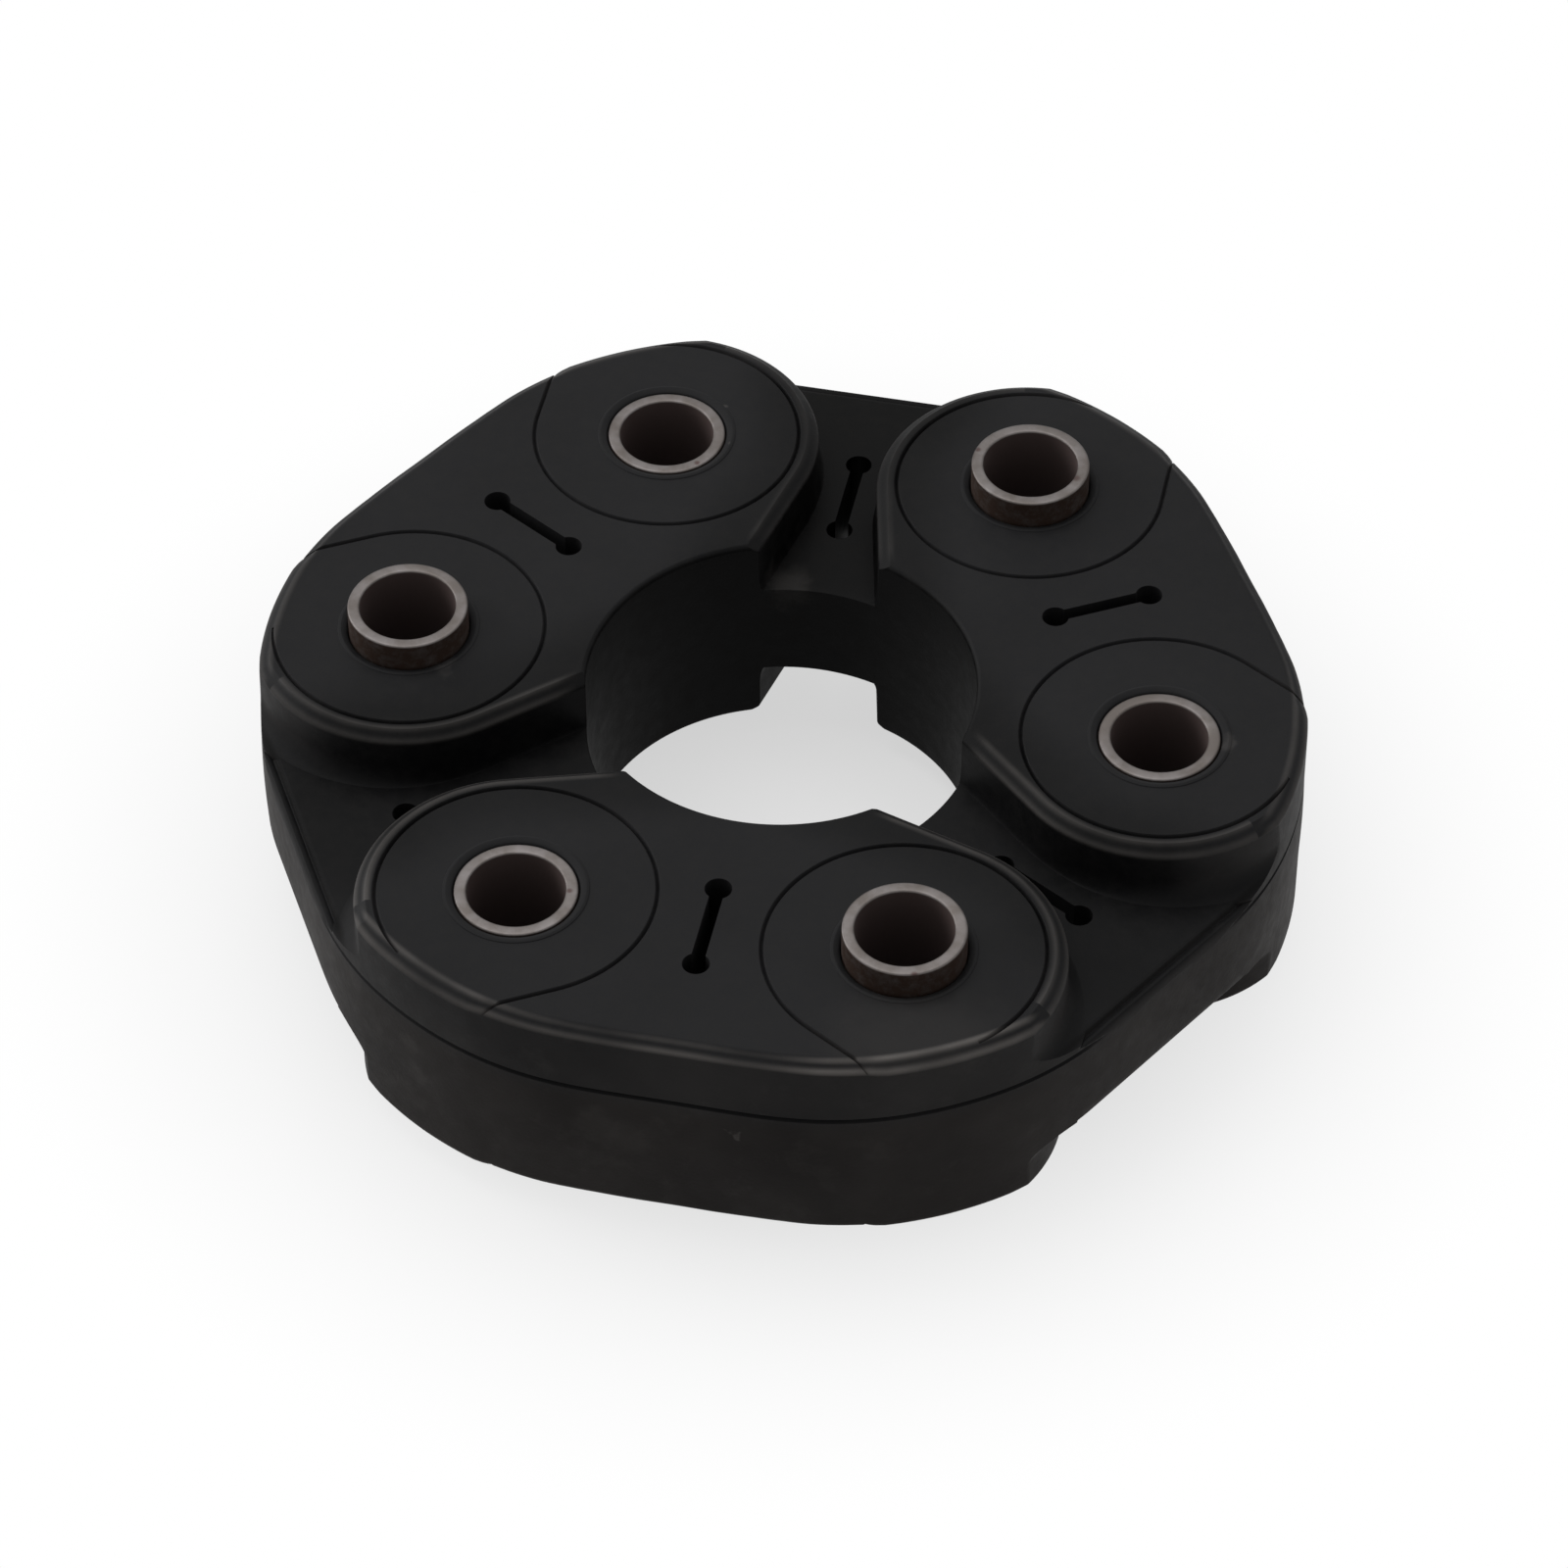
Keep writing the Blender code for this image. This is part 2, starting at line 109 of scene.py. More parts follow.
class FlexDiscSizes(PropertyGroup):
    """Sizes of the disc and of what is bedded in it."""

    pitch_radius: length("Pitch radius", "From the disc's axis to each bolt sleeve's axis", 48.0)
    thickness: length("Thickness", "Thickness of the pads between the flat faces", 30.0)
    valley_depth: length("Valley depth", "How far a web's floor lies below the pad's face", 8.0)
    hole_radius: length("Centre hole radius", "Radius of the plain centre hole", 24.5)
    wall_at_sleeve: length("Wall at sleeves", "From the axis to the side wall beside a sleeve", 66.1)
    wall_at_flank: length("Wall between sleeves", "From the axis to the side wall between two sleeves", 63.5)
    wall_fullness: length("Wall fullness", "How much the wall fills out between its widest and flattest", 0.2)
    flank_lean: length("Flank lean", "How far the wall leans in towards the faces between sleeves", 0.7)
    edge_inset: length("Edge inset", "How far the top edge lies inside the side wall", 1.55)
    edge_drop: length("Edge drop", "How far the bevelled edge band reaches down the side wall", 1.1)
    belt_bulge: length("Belt bulge", "How far the belt round the middle stands out", 0.12)
    line_height: length("Moulded line height", "Height of the fine line round the pads above the middle", 5.8)
    pad_end_radius: length("Pad end radius", "Radius of a pad's end about its sleeve", 19.8)
    pad_foot: length("Pad foot fillet", "Fillet where a pad's end meets the web's floor", 3.0)
    slit_width: length("Slit width", "Width of the straight part of each slit", 1.8)
    slit_end: length("Slit end radius", "Radius of the round hole at each end of a slit", 1.7)
    groove_radius: length("Ring groove radius", "Radius of the fine groove round each sleeve", 17.2)
    bore_radius: length("Bore radius", "Radius of a sleeve's bore for an M12 bolt", 6.05)
    sleeve_radius: length("Sleeve radius", "Outer radius of a bolt sleeve", 7.6)
    sleeve_proud: length("Sleeve stand", "How far a sleeve stands proud of one face", 3.65)
    lip_height: length("Lip height", "Height of the rubber lip round each sleeve", 0.2)
    cord_width: length("Cord width", "Width of one turn of cord in a wound loop", 0.94)


class FlexDiscColours(PropertyGroup):
    """Colours of the rubber, the steel and what is bedded in the rubber."""

    rubber: colour("Rubber", "Clean moulded rubber", "1b1b1c")
    rubber_brown: colour("Aged rubber", "Slightly brown bloom on the side wall", "1a1716")
    # Dust, and also the colour of the painted highlights along the bevelled edges and of some painted highlight
    # marks
    dust_and_highlight: colour("Dust", "Pale dust in scuffs and along edges", "76726f")
    steel: colour("Steel", "Plated steel of the sleeves' ends", "656160")
    steel_dull: colour("Dull steel", "Handled and stained plating", "544f4c")
    rust: colour("Rust", "Dark rust on the sleeves' outsides", "2c201a")
    bore: colour("Bore", "Dark scale inside the sleeves", "463b39")
    bush: colour("Bush", "Moulded collar bush", "857f74")
    cord: colour("Cord", "Wound polyester cord", "b9ad92")


def add_node(tree, kind, links=(), out=0, **settings):
    """Add a node with its settings, give each input a value or a link, and return one output or all."""
    item = tree.nodes.new(kind)
    for name, value in settings.items():
        setattr(item, name, value)
    for key, value in dict(links).items():
        if isinstance(value, bpy.types.NodeSocket):
            tree.links.new(value, item.inputs[key])
        else:
            item.inputs[key].default_value = value
    return item.outputs if out is None or not item.outputs else item.outputs[out]


def new_material(name):
    """An empty node material, and the object coordinates that its patterns read."""
    material = bpy.data.materials.new(name)
    material.use_nodes = True
    tree = material.node_tree
    tree.nodes.clear()
    return material, tree, add_node(tree, "ShaderNodeTexCoord", out="Object")


def rgba(value):
    return (*value, 1.0)


def link_point(sizes):
    """From the axis to the middle between two sleeves, and from there to each of the two."""
    return sizes.pitch_radius * cos(HALF_STEP), sizes.pitch_radius * sin(HALF_STEP)


def sleeve_centre(sizes, number):
    angle = 2 * HALF_STEP * (number - 1)
    return sizes.pitch_radius * cos(angle), sizes.pitch_radius * sin(angle)


def share(value, start, end):
    """How far a value has come from a start to an end, from 0 to 1."""
    return min(max((value - start) / (end - start), 0), 1)


def select_only(*items):
    """Make these objects the selection, and the first one active."""
    if bpy.context.object and bpy.context.object.mode != "OBJECT":
        bpy.ops.object.mode_set(mode="OBJECT")
    bpy.ops.object.select_all(action="DESELECT")
    for item in items:
        item.select_set(True)
    bpy.context.view_layer.objects.active = items[0] if items else None


def drawn_outline(name, points, filled=True):
    """A circle added as a start, with its vertices set on an outline's points. It stays in edit mode."""
    select_only()
    fill = "NGON" if filled else "NOTHING"
    bpy.ops.mesh.primitive_circle_add(vertices=len(points), radius=0.01, fill_type=fill, location=(0, 0, 0))
    item = bpy.context.object
    item.name = item.data.name = name
    bpy.ops.object.mode_set(mode="EDIT")
    bpy.ops.mesh.select_all(action="SELECT")
    bm = bmesh.from_edit_mesh(item.data)
    order = bm.verts.layers.int.new("order")
    for index, (vert, point) in enumerate(zip(sorted(bm.verts, key=lambda v: v.index), points)):
        vert.co = point
        vert[order] = index
    bmesh.update_edit_mesh(item.data)
    return item


def extruded(offset):
    bpy.ops.mesh.extrude_region_move(TRANSFORM_OT_translate={"value": offset})


def through_rings(item, rings):
    """Extrude the drawn outline through further rings, each with a point for every point of the outline."""
    for ring in rings:
        extruded((0, 0, 0.5 * MM))
        bm = bmesh.from_edit_mesh(item.data)
        order = bm.verts.layers.int["order"]
        for vert in bm.verts:
            if vert.select:
                vert.co = ring[vert[order]]
        bmesh.update_edit_mesh(item.data)


def raised(levels, centre):
    """Extrude the selection up through (radius, height) levels, scaled about a centre at each."""
    for (radius, height), (next_radius, next_height) in zip(levels, levels[1:]):
        extruded((0, 0, next_height - height))
        ratio = next_radius / radius
        if abs(ratio - 1) > 1e-9:
            bpy.ops.transform.resize(value=(ratio, ratio, 1), center_override=(*centre, 0))


def finished(item):
    """Leave edit mode with doubles merged and faces turned outwards."""
    bpy.ops.mesh.select_all(action="SELECT")
    bpy.ops.mesh.remove_doubles(threshold=0.000002)
    bpy.ops.mesh.normals_make_consistent(inside=False)
    bpy.ops.object.mode_set(mode="OBJECT")
    if "order" in item.data.attributes:
        item.data.attributes.remove(item.data.attributes["order"])
    return item


def turned(name, profile, steps, centre=(0, 0), closed=False):
    """A round solid or tube about a vertical axis, from (radius, height) points."""
    radius, height = profile[0]
    turns = [2 * pi * i / steps for i in range(steps)]
    ring = [(centre[0] + radius * cos(t), centre[1] + radius * sin(t), height) for t in turns]
    item = drawn_outline(name, ring, filled=not closed)
    raised(profile + profile[:1] if closed else profile, centre)
    return finished(item)


def softened(profile, reach, steps):
    """Round the inner corners of a profile, each over the same reach along its two sides."""
    points = [profile[0]]
    for before, corner, after in zip(profile, profile[1:], profile[2:]):
        corner, before, after = Vector(corner), Vector(before), Vector(after)
        back = min(reach, (before - corner).length * 0.45)
        ahead = min(reach, (after - corner).length * 0.45)
        start = corner + (before - corner).normalized() * back
        end = corner + (after - corner).normalized() * ahead
        for i in range(steps + 1):
            t = i / steps
            points.append(tuple(start * (1 - t) ** 2 + corner * (2 * t * (1 - t)) + end * t ** 2))
    points.append(profile[-1])
    return points


def both_mouths(radius, face, rounding):
    """A through hole's cutter profile: a rounded mouth at both faces, run on straight past each."""
    upper = []
    for i in range(7):
        turn = MOUTH_TURN * i / 6
        upper.append((radius + rounding * (1 - cos(turn)), face - rounding * (1 - sin(turn))))
    upper.append((upper[-1][0] + tan(MOUTH_TURN) * PAST, upper[-1][1] + PAST))
    return [(r, -z) for r, z in reversed(upper)] + upper


def copied(items, places):
    """One joined object with a copy of the items at each place, each copy with its own mesh."""
    copies = []
    for place in places:
        for item in items:
            twin = item.copy()
            twin.data = item.data.copy()
            bpy.context.scene.collection.objects.link(twin)
            twin.data.transform(place)
            if place.determinant() < 0:
                twin.data.flip_normals()
            copies.append(twin)
    select_only(*copies)
    bpy.ops.object.join()
    joined = bpy.context.object
    for item in items:
        bpy.data.objects.remove(item)
    return joined


def combine(item, tool, operation="DIFFERENCE"):
    """Apply a Boolean of one object on another, and drop the tool."""
    select_only(item)
    boolean = item.modifiers.new("Shaping", "BOOLEAN")
    boolean.operation = operation
    boolean.solver = "EXACT"
    boolean.object = tool
    bpy.ops.object.modifier_apply(modifier=boolean.name)
    bpy.data.objects.remove(tool)


def about_axis(count, first=0.0):
    return [Matrix.Rotation(first + 2 * pi * i / count, 4, "Z") for i in range(count)]


def with_lower_face(places):
    """The same places, and their mirror images through the disc's middle plane."""
    return places + [place @ Matrix.Scale(-1, 4, (0, 0, 1)) for place in places]


def smoothed(item, angle):
    """Smooth shading that keeps edges sharper than the angle, with large flat faces kept flat."""
    select_only(item)
    bpy.ops.object.shade_smooth_by_angle(angle=radians(angle))
    weighted = item.modifiers.new("Flat faces", "WEIGHTED_NORMAL")
    weighted.keep_sharp = True
    bpy.ops.object.modifier_apply(modifier=weighted.name)


def dressed(item, material, slot, *nodes):
    """Give a finished piece its material and its place in the frame."""
    item.data.materials.clear()
    item.data.materials.append(material)
    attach(item, "root")
    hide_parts(*nodes)
    return item


def wall_levels(sizes):
    """(offset, height) of the side wall's upper half: belt, moulded line, plain wall and bevelled band."""
    half, line = sizes.thickness / 2, sizes.line_height
    belt = [(sizes.belt_bulge * (1 - (h / 5.5) ** 2), h * MM) for h in (0.0, 1.4, 2.8, 4.1, 5.0, 5.4)]
    near_line = [(0.0, line + h * MM) for h in (-0.34, -0.2, -0.07, 0.0, 0.07, 0.2, 0.36)]
    edge = [(0.0, 7.5 * MM), (0.0, half - sizes.edge_drop)]
    edge += [(-sizes.edge_inset, half), (-sizes.edge_inset - 3 * MM, half)]
    return belt + near_line + softened(edge, EDGE_ROUNDING, 4)


# Degrees from a pad's middle against the share of the flank's lean. The step near 22 degrees is where
# the groove round a sleeve runs out over the edge.
LEAN_BY_ANGLE = (
    (0, 1.0), (4, 0.98), (9, 1.14), (12, 1.08), (15, 0.86), (20, 0.66),
    (21.4, 0.55), (22.4, 0.04), (30, 0), (37, 0.1), (41, 0.5), (60, 0.9),
)
# The flank leans in from the first of these heights to the second
LEAN_FROM, LEAN_TO = 6.05 * MM, 13.9 * MM


def wall_reach(sizes, turn, offset, height):
    """Distance of the side wall from the axis: widest at the sleeves, leaning in between them."""
    middle = (sizes.wall_at_sleeve + sizes.wall_at_flank) / 2 + sizes.wall_fullness
    swing = (sizes.wall_at_sleeve - sizes.wall_at_flank) / 2
    reach = middle + swing * cos(SLEEVES * turn) - sizes.wall_fullness * cos(2 * SLEEVES * turn)
    # A pad's middle lies at 30, 150 and 270 degrees
    from_pad = abs((degrees(turn) - 30 + 60) % 120 - 60)
    for (a, low), (b, high) in zip(LEAN_BY_ANGLE, LEAN_BY_ANGLE[1:]):
        if a <= from_pad <= b:
            lean = low + (high - low) * share(from_pad, a, b)
    lean *= sizes.flank_lean * share(abs(height), LEAN_FROM, LEAN_TO)
    on_pad = share(sin(SLEEVES / 2 * turn), -0.87, -0.67)
    near_line = max(0, 1 - abs(height - sizes.line_height) / LINE_HALF_WIDTH)
    return reach + offset - lean - LINE_DEPTH * on_pad * near_line


def blank_disc(sizes):
    """The disc's outside before anything is cut: a waved outline raised through the side wall's levels."""
    upper = wall_levels(sizes)
    lower = [
        (offset, -height) for offset, height in reversed(upper[1:]) if abs(height - sizes.line_height) > 0.5 * MM
    ]
    steps = 360
    rings = []
    for offset, height in lower + upper:
        ring = []
        for i in range(steps):
            turn = 2 * pi * i / steps
            reach = wall_reach(sizes, turn, offset, height)
            ring.append((reach * cos(turn), reach * sin(turn), height))
        rings.append(ring)
    item = drawn_outline("disc_rubber", rings[0])
    through_rings(item, rings[1:])
    return finished(item)


def web_profile(sizes):
    """The web's surface in a radial section: flat floor, crease and rounded shoulder."""
    floor = sizes.thickness / 2 - sizes.valley_depth
    crease = (
        (-2.0, 0.0), (-1.62, -0.08), (-1.46, -0.3), (-1.34, -0.56),
        (-1.22, -0.62), (-1.08, -0.56), (-0.9, -0.44), (-0.55, -0.4),
    )
    points = [(sizes.hole_radius / 2, floor)]
    points += [(sizes.wall_at_flank + x * MM, floor + z * MM) for x, z in crease]
    base = points[-1]
    reach = sizes.wall_at_flank + sizes.belt_bulge - base[0]
    for i in range(1, 11):
        turn = pi / 2 * i / 10
        points.append((base[0] + reach * sin(turn), base[1] - 2.4 * MM * (1 - cos(turn))))
    points.append((sizes.wall_at_sleeve * 1.1, points[-1][1]))
    return points


def pad_end(sizes, side):
    """The end of a pad: round its sleeve, straight inwards to the hole, filleted at the foot. Its bevelled
    band runs on past the pad's face in a straight slope, so that the top edge stays crisp."""
    link, reach = link_point(sizes)
    half = sizes.thickness / 2
    floor = half - sizes.valley_depth - 0.04 * MM
    radius, foot = sizes.pad_end_radius, sizes.pad_foot
    inset, drop = sizes.edge_inset - 0.05 * MM, sizes.edge_drop
    # (radius, height) levels, and how much of the foot's fillet is in each
    levels = [(radius, floor - 3 * MM, 1.0)]
    for i in range(10):
        turn = pi / 2 * i / 9
        levels.append((radius, floor + foot * (1 - cos(turn)), 1 - sin(turn)))
    bevel = [(radius, 11 * MM), (radius, half - drop), (radius - inset, half)]
    bevel.append((radius - inset * (1 + PAST / drop), half + PAST))
    levels += [(r, z, 0.0) for r, z in softened(bevel, EDGE_ROUNDING, 4)]
    first, last, steps = radians(44), -(pi / 2 + END_SLANT), 56
    inner, outer = sizes.hole_radius / 2, side * (reach + 46 * MM)
    rings = []
    for reach_out, height, fillet in levels:
        ring = []
        for i in range(steps + 1):
            turn = first + (last - first) * i / steps
            # The foot's fillet gets smaller towards the hole
            r = reach_out + foot * (1 - 0.82 * share(degrees(-turn), 20, 90)) * fillet
            ring.append((link + r * cos(turn), side * (reach + r * sin(turn)), height))
        x, y = ring[-1][0], side * ring[-1][1]
        ring.append((inner, side * (y + (x - inner) * tan(END_SLANT)), height))
        ring += [(inner, outer, height), (ring[0][0], outer, height)]
        rings.append(ring)
    item = drawn_outline("pad_end", rings[0])
    through_rings(item, rings[1:])
    return finished(item)


def valley(sizes):
    """What is taken away over a web: its section run across, trimmed to a wedge, less the pads' ends."""
    top = sizes.thickness / 2 + 1.5 * MM
    profile = web_profile(sizes)
    profile = profile + [(profile[-1][0], top), (profile[0][0], top)]
    width = 60 * MM
    item = drawn_outline("valley", [(x, -width, z) for x, z in profile])
    extruded((0, 2 * width, 0))
    for side in (-1, 1):
        bpy.ops.mesh.select_all(action="SELECT")
        normal = (-sin(HALF_STEP), side * cos(HALF_STEP), 0)
        bpy.ops.mesh.bisect(plane_co=(0, 0, 0), plane_no=normal, use_fill=True, clear_outer=True)
    finished(item)
    for side in (-1, 1):
        combine(item, pad_end(sizes, side))
    return item


def slit(sizes):
    """A radial slot with a round hole at each end, run through the disc."""
    link = link_point(sizes)[0]
    half = sizes.slit_width / 2 / sizes.slit_end
    points = []
    for centre, facing in ((link + SLIT_OUT, pi), (link - SLIT_IN, 0.0)):
        for i in range(21):
            turn = facing + half + 2 * (pi - half) * i / 20
            points.append((centre + sizes.slit_end * cos(turn), sizes.slit_end * sin(turn)))
    low, high = -sizes.thickness / 2 - PAST, sizes.thickness / 2 + PAST
    item = drawn_outline("slit", [(x, y, low) for x, y in points])
    extruded((0, 0, high - low))
    return finished(item)


def ring_groove(sizes):
    """The fine groove round a sleeve: it runs straight out over the pad's edge, and round its web side."""
    half, depth, top = 0.42 * MM, 0.62 * MM, sizes.thickness / 2
    section = [(-half - 0.3 * MM, 0.35 * MM), (-half * 0.55, -0.1 * MM), (0.0, -depth), (half * 0.55, -0.1 * MM)]
    section = softened(section + [(half + 0.3 * MM, 0.35 * MM)], 0.12 * MM, 2)
    start = radians(60)
    across = Vector((cos(start), sin(start), 0))
    out = Vector((sin(start), -cos(start), 0))
    centre = Vector((sizes.pitch_radius, 0, top))
    tangent = centre + across * sizes.groove_radius
    run_out, past_edge, dip = 7.6 * MM, 2.6 * MM, 1.5 * MM
    edge = tangent + out * run_out
    end = edge + out * past_edge - Vector((0, 0, dip))
    item = drawn_outline("ring_groove", [end + across * r + Vector((0, 0, z)) for r, z in section])
    extruded(edge - end)
    extruded(tangent - edge)
    bpy.ops.mesh.spin(steps=96, angle=radians(288), center=centre, axis=(0, 0, -1))
    return finished(item)


def sleeve_lip(sizes):
    """The low lip of rubber that the mould leaves round a sleeve."""
    top, high = sizes.thickness / 2, sizes.lip_height
    inner = sizes.sleeve_radius + 0.5 * MM
    section = [
        (inner, top - 0.3 * MM), (inner, top + high * 0.6), (inner + 0.15 * MM, top + high),
        (inner + 0.5 * MM, top + high), (inner + 0.8 * MM, top + high * 0.5), (inner + 1.1 * MM, top - 0.3 * MM),
    ]
    return turned("sleeve_lip", section, 96, (sizes.pitch_radius, 0), closed=True)


def soften_rims(item, sizes):
    """Bevel the edges where the slits open on the pads and webs, and the webs' edges at the centre hole."""
    link, top = link_point(sizes)[0], sizes.thickness / 2
    floor = top - sizes.valley_depth
    around = sizes.slit_end + 0.75 * MM
    for width, steps, at_hole in ((0.42 * MM, 3, False), (0.8 * MM, 4, True)):
        select_only(item)
        bpy.ops.object.mode_set(mode="EDIT")
        bpy.ops.mesh.select_mode(type="EDGE")
        bpy.ops.mesh.select_all(action="DESELECT")
        bm = bmesh.from_edit_mesh(item.data)
        for edge in bm.edges:
            middle = (edge.verts[0].co + edge.verts[1].co) / 2
            if len(edge.link_faces) != 2 or edge.calc_face_angle(0) < radians(70):
                continue
            turn = (atan2(middle.y, middle.x) - HALF_STEP) / (2 * HALF_STEP)
            off = (turn - round(turn)) * 2 * HALF_STEP
            reach = Vector((middle.x, middle.y)).length
            along, across = reach * cos(off) - link, reach * sin(off)
            on_top, on_floor = [abs(abs(middle.z) - level) < 0.02 * MM for level in (top, floor)]
            if at_hole:
                edge.select_set(abs(reach - sizes.hole_radius) < 0.1 * MM and on_floor)
            else:
                beside = abs(across) < sizes.slit_end + 0.3 * MM and -SLIT_IN - around < along < SLIT_OUT + around
                edge.select_set(beside and (on_top or on_floor))
        bmesh.update_edit_mesh(item.data)
        bpy.ops.mesh.bevel(offset=width, segments=steps, profile=0.5, affect="EDGES", clamp_overlap=True)
        bpy.ops.object.mode_set(mode="OBJECT")


def spot(tree, place, centre, radius, fade=0.6):
    """1 within a radius of a point, falling to 0 beyond it."""
    distance = add_node(tree, "ShaderNodeVectorMath", {0: place, 1: centre}, operation="DISTANCE", out="Value")
    return add_node(
        tree,
        "ShaderNodeMapRange",
        {"Value": distance, "From Min": radius * (1 + fade), "From Max": radius * (1 - fade)},
        interpolation_type="SMOOTHSTEP",
    )


def from_axis(tree, place, x=0.0, y=0.0):
    """Distance from the upright axis through a point."""
    flat = add_node(tree, "ShaderNodeMapping", {"Vector": place, "Scale": (1, 1, 0), "Location": (-x, -y, 0)})
    return add_node(tree, "ShaderNodeVectorMath", {0: flat}, operation="LENGTH", out="Value")


def levelness(tree):
    """1 on a level face, seen from above or below, and 0 on an upright one."""
    normal = add_node(tree, "ShaderNodeNewGeometry", out="Normal")
    up = add_node(tree, "ShaderNodeSeparateXYZ", {0: normal}, out="Z")
    return add_node(tree, "ShaderNodeMath", {0: up}, operation="ABSOLUTE")


def edge_distance(tree, xyz, reach, sizes):
    """How far a point lies inside a pad's outline, inside its end by a web, towards the web from its
    sleeve, and out along the web's middle."""
    turn = add_node(tree, "ShaderNodeMath", {0: xyz["Y"], 1: xyz["X"]}, operation="ARCTAN2")
    wave = add_node(tree, "ShaderNodeMath", {0: turn, 1: float(SLEEVES)}, operation="MULTIPLY")
    wave = add_node(tree, "ShaderNodeMath", {0: wave}, operation="COSINE")
    middle, full = (sizes.wall_at_sleeve + sizes.wall_at_flank) / 2, sizes.wall_fullness
    swing = (sizes.wall_at_sleeve - sizes.wall_at_flank) / 2
    wall = wave
    for factor, added in ((-2 * full, swing), (wave, middle + 2 * full)):
        wall = add_node(tree, "ShaderNodeMath", {0: wall, 1: factor, 2: added}, operation="MULTIPLY_ADD")
    from_wall = add_node(tree, "ShaderNodeMath", {0: wall, 1: reach}, operation="SUBTRACT")
    # Folded into one half of a web and its pad: along the web's middle, then across it
    folded = add_node(tree, "ShaderNodeMath", {0: turn, 1: pi / 2}, operation="SUBTRACT")
    folded = add_node(tree, "ShaderNodeMath", {0: folded, 1: pi / 3}, operation="PINGPONG")
    plan = []
    for operation in ("COSINE", "SINE"):
        part = add_node(tree, "ShaderNodeMath", {0: folded}, operation=operation)
        plan.append(add_node(tree, "ShaderNodeMath", {0: part, 1: reach}, operation="MULTIPLY"))
    at = add_node(tree, "ShaderNodeCombineXYZ", {"X": plan[0], "Y": plan[1]})
    at = add_node(tree, "ShaderNodeVectorMath", {0: at, 1: (*link_point(sizes), 0)}, operation="SUBTRACT")
    across, along = [
        add_node(tree, "ShaderNodeVectorMath", {0: at, 1: way}, operation="DOT_PRODUCT", out="Value")
        for way in ((-sin(END_SLANT), -cos(END_SLANT), 0), (-cos(END_SLANT), sin(END_SLANT), 0))
    ]
    along = add_node(tree, "ShaderNodeMath", {0: along, 1: 0.0}, operation="MINIMUM")
    away = add_node(tree, "ShaderNodeCombineXYZ", {"X": across, "Y": along})
    away = add_node(tree, "ShaderNodeVectorMath", {0: away}, operation="LENGTH", out="Value")
    from_end = add_node(tree, "ShaderNodeMath", {0: sizes.pad_end_radius, 1: away}, operation="SUBTRACT")
    # The pad's end counts only on the web's side of the sleeve
    off_web = add_node(tree, "ShaderNodeMath", {0: across, 1: 0.0}, operation="LESS_THAN")
    from_end = add_node(tree, "ShaderNodeMath", {0: from_end, 1: off_web}, operation="ADD")
    nearest = add_node(tree, "ShaderNodeMath", {0: from_wall, 1: from_end}, operation="MINIMUM")
    return nearest, from_end, across, plan[0]


def band(tree, value, middle, width):
    """1 where a value is at a middle, falling to 0 at a width from it."""
    away = add_node(tree, "ShaderNodeMath", {0: value, 1: middle}, operation="SUBTRACT")
    away = add_node(tree, "ShaderNodeMath", {0: away}, operation="ABSOLUTE")
    return add_node(
        tree,
        "ShaderNodeMapRange",
        {"Value": away, "From Max": width, "To Min": 1.0, "To Max": 0.0},
        interpolation_type="SMOOTHSTEP",
    )


# Pale marks rubbed into the rubber, and painted highlights on the front edge, on a web's lip at the centre hole and
# on the lips round two sleeves: x, y, z and radius in mm, and how pale
PALE_MARKS_AND_HIGHLIGHTS = (
    (-34.0, -56.3, 1.2, 1.5, 0.05), (-33.2, -57.2, -3.4, 1.3, 0.05), (-9.0, -63.2, -0.2, 2.6, 0.05),
    (-5.6, -63.4, -1.6, 2.6, 0.04), (7.8, -63.2, 2.4, 0.6, 0.2), (9.2, -63.1, 0.6, 0.5, 0.2),
    (-17.4, 47.7, 15.0, 0.5, 0.16), (-15.5, 40.8, 15.0, 0.4, 0.16), (28.0, -55.0, 14.6, 9.0, 0.05),
    (-4.5, 25.2, 6.9, 2.6, 0.08), (56.4, 0.6, 15.0, 1.3, 0.1), (-42.0, -6.0, 15.0, 1.5, 0.08),
)


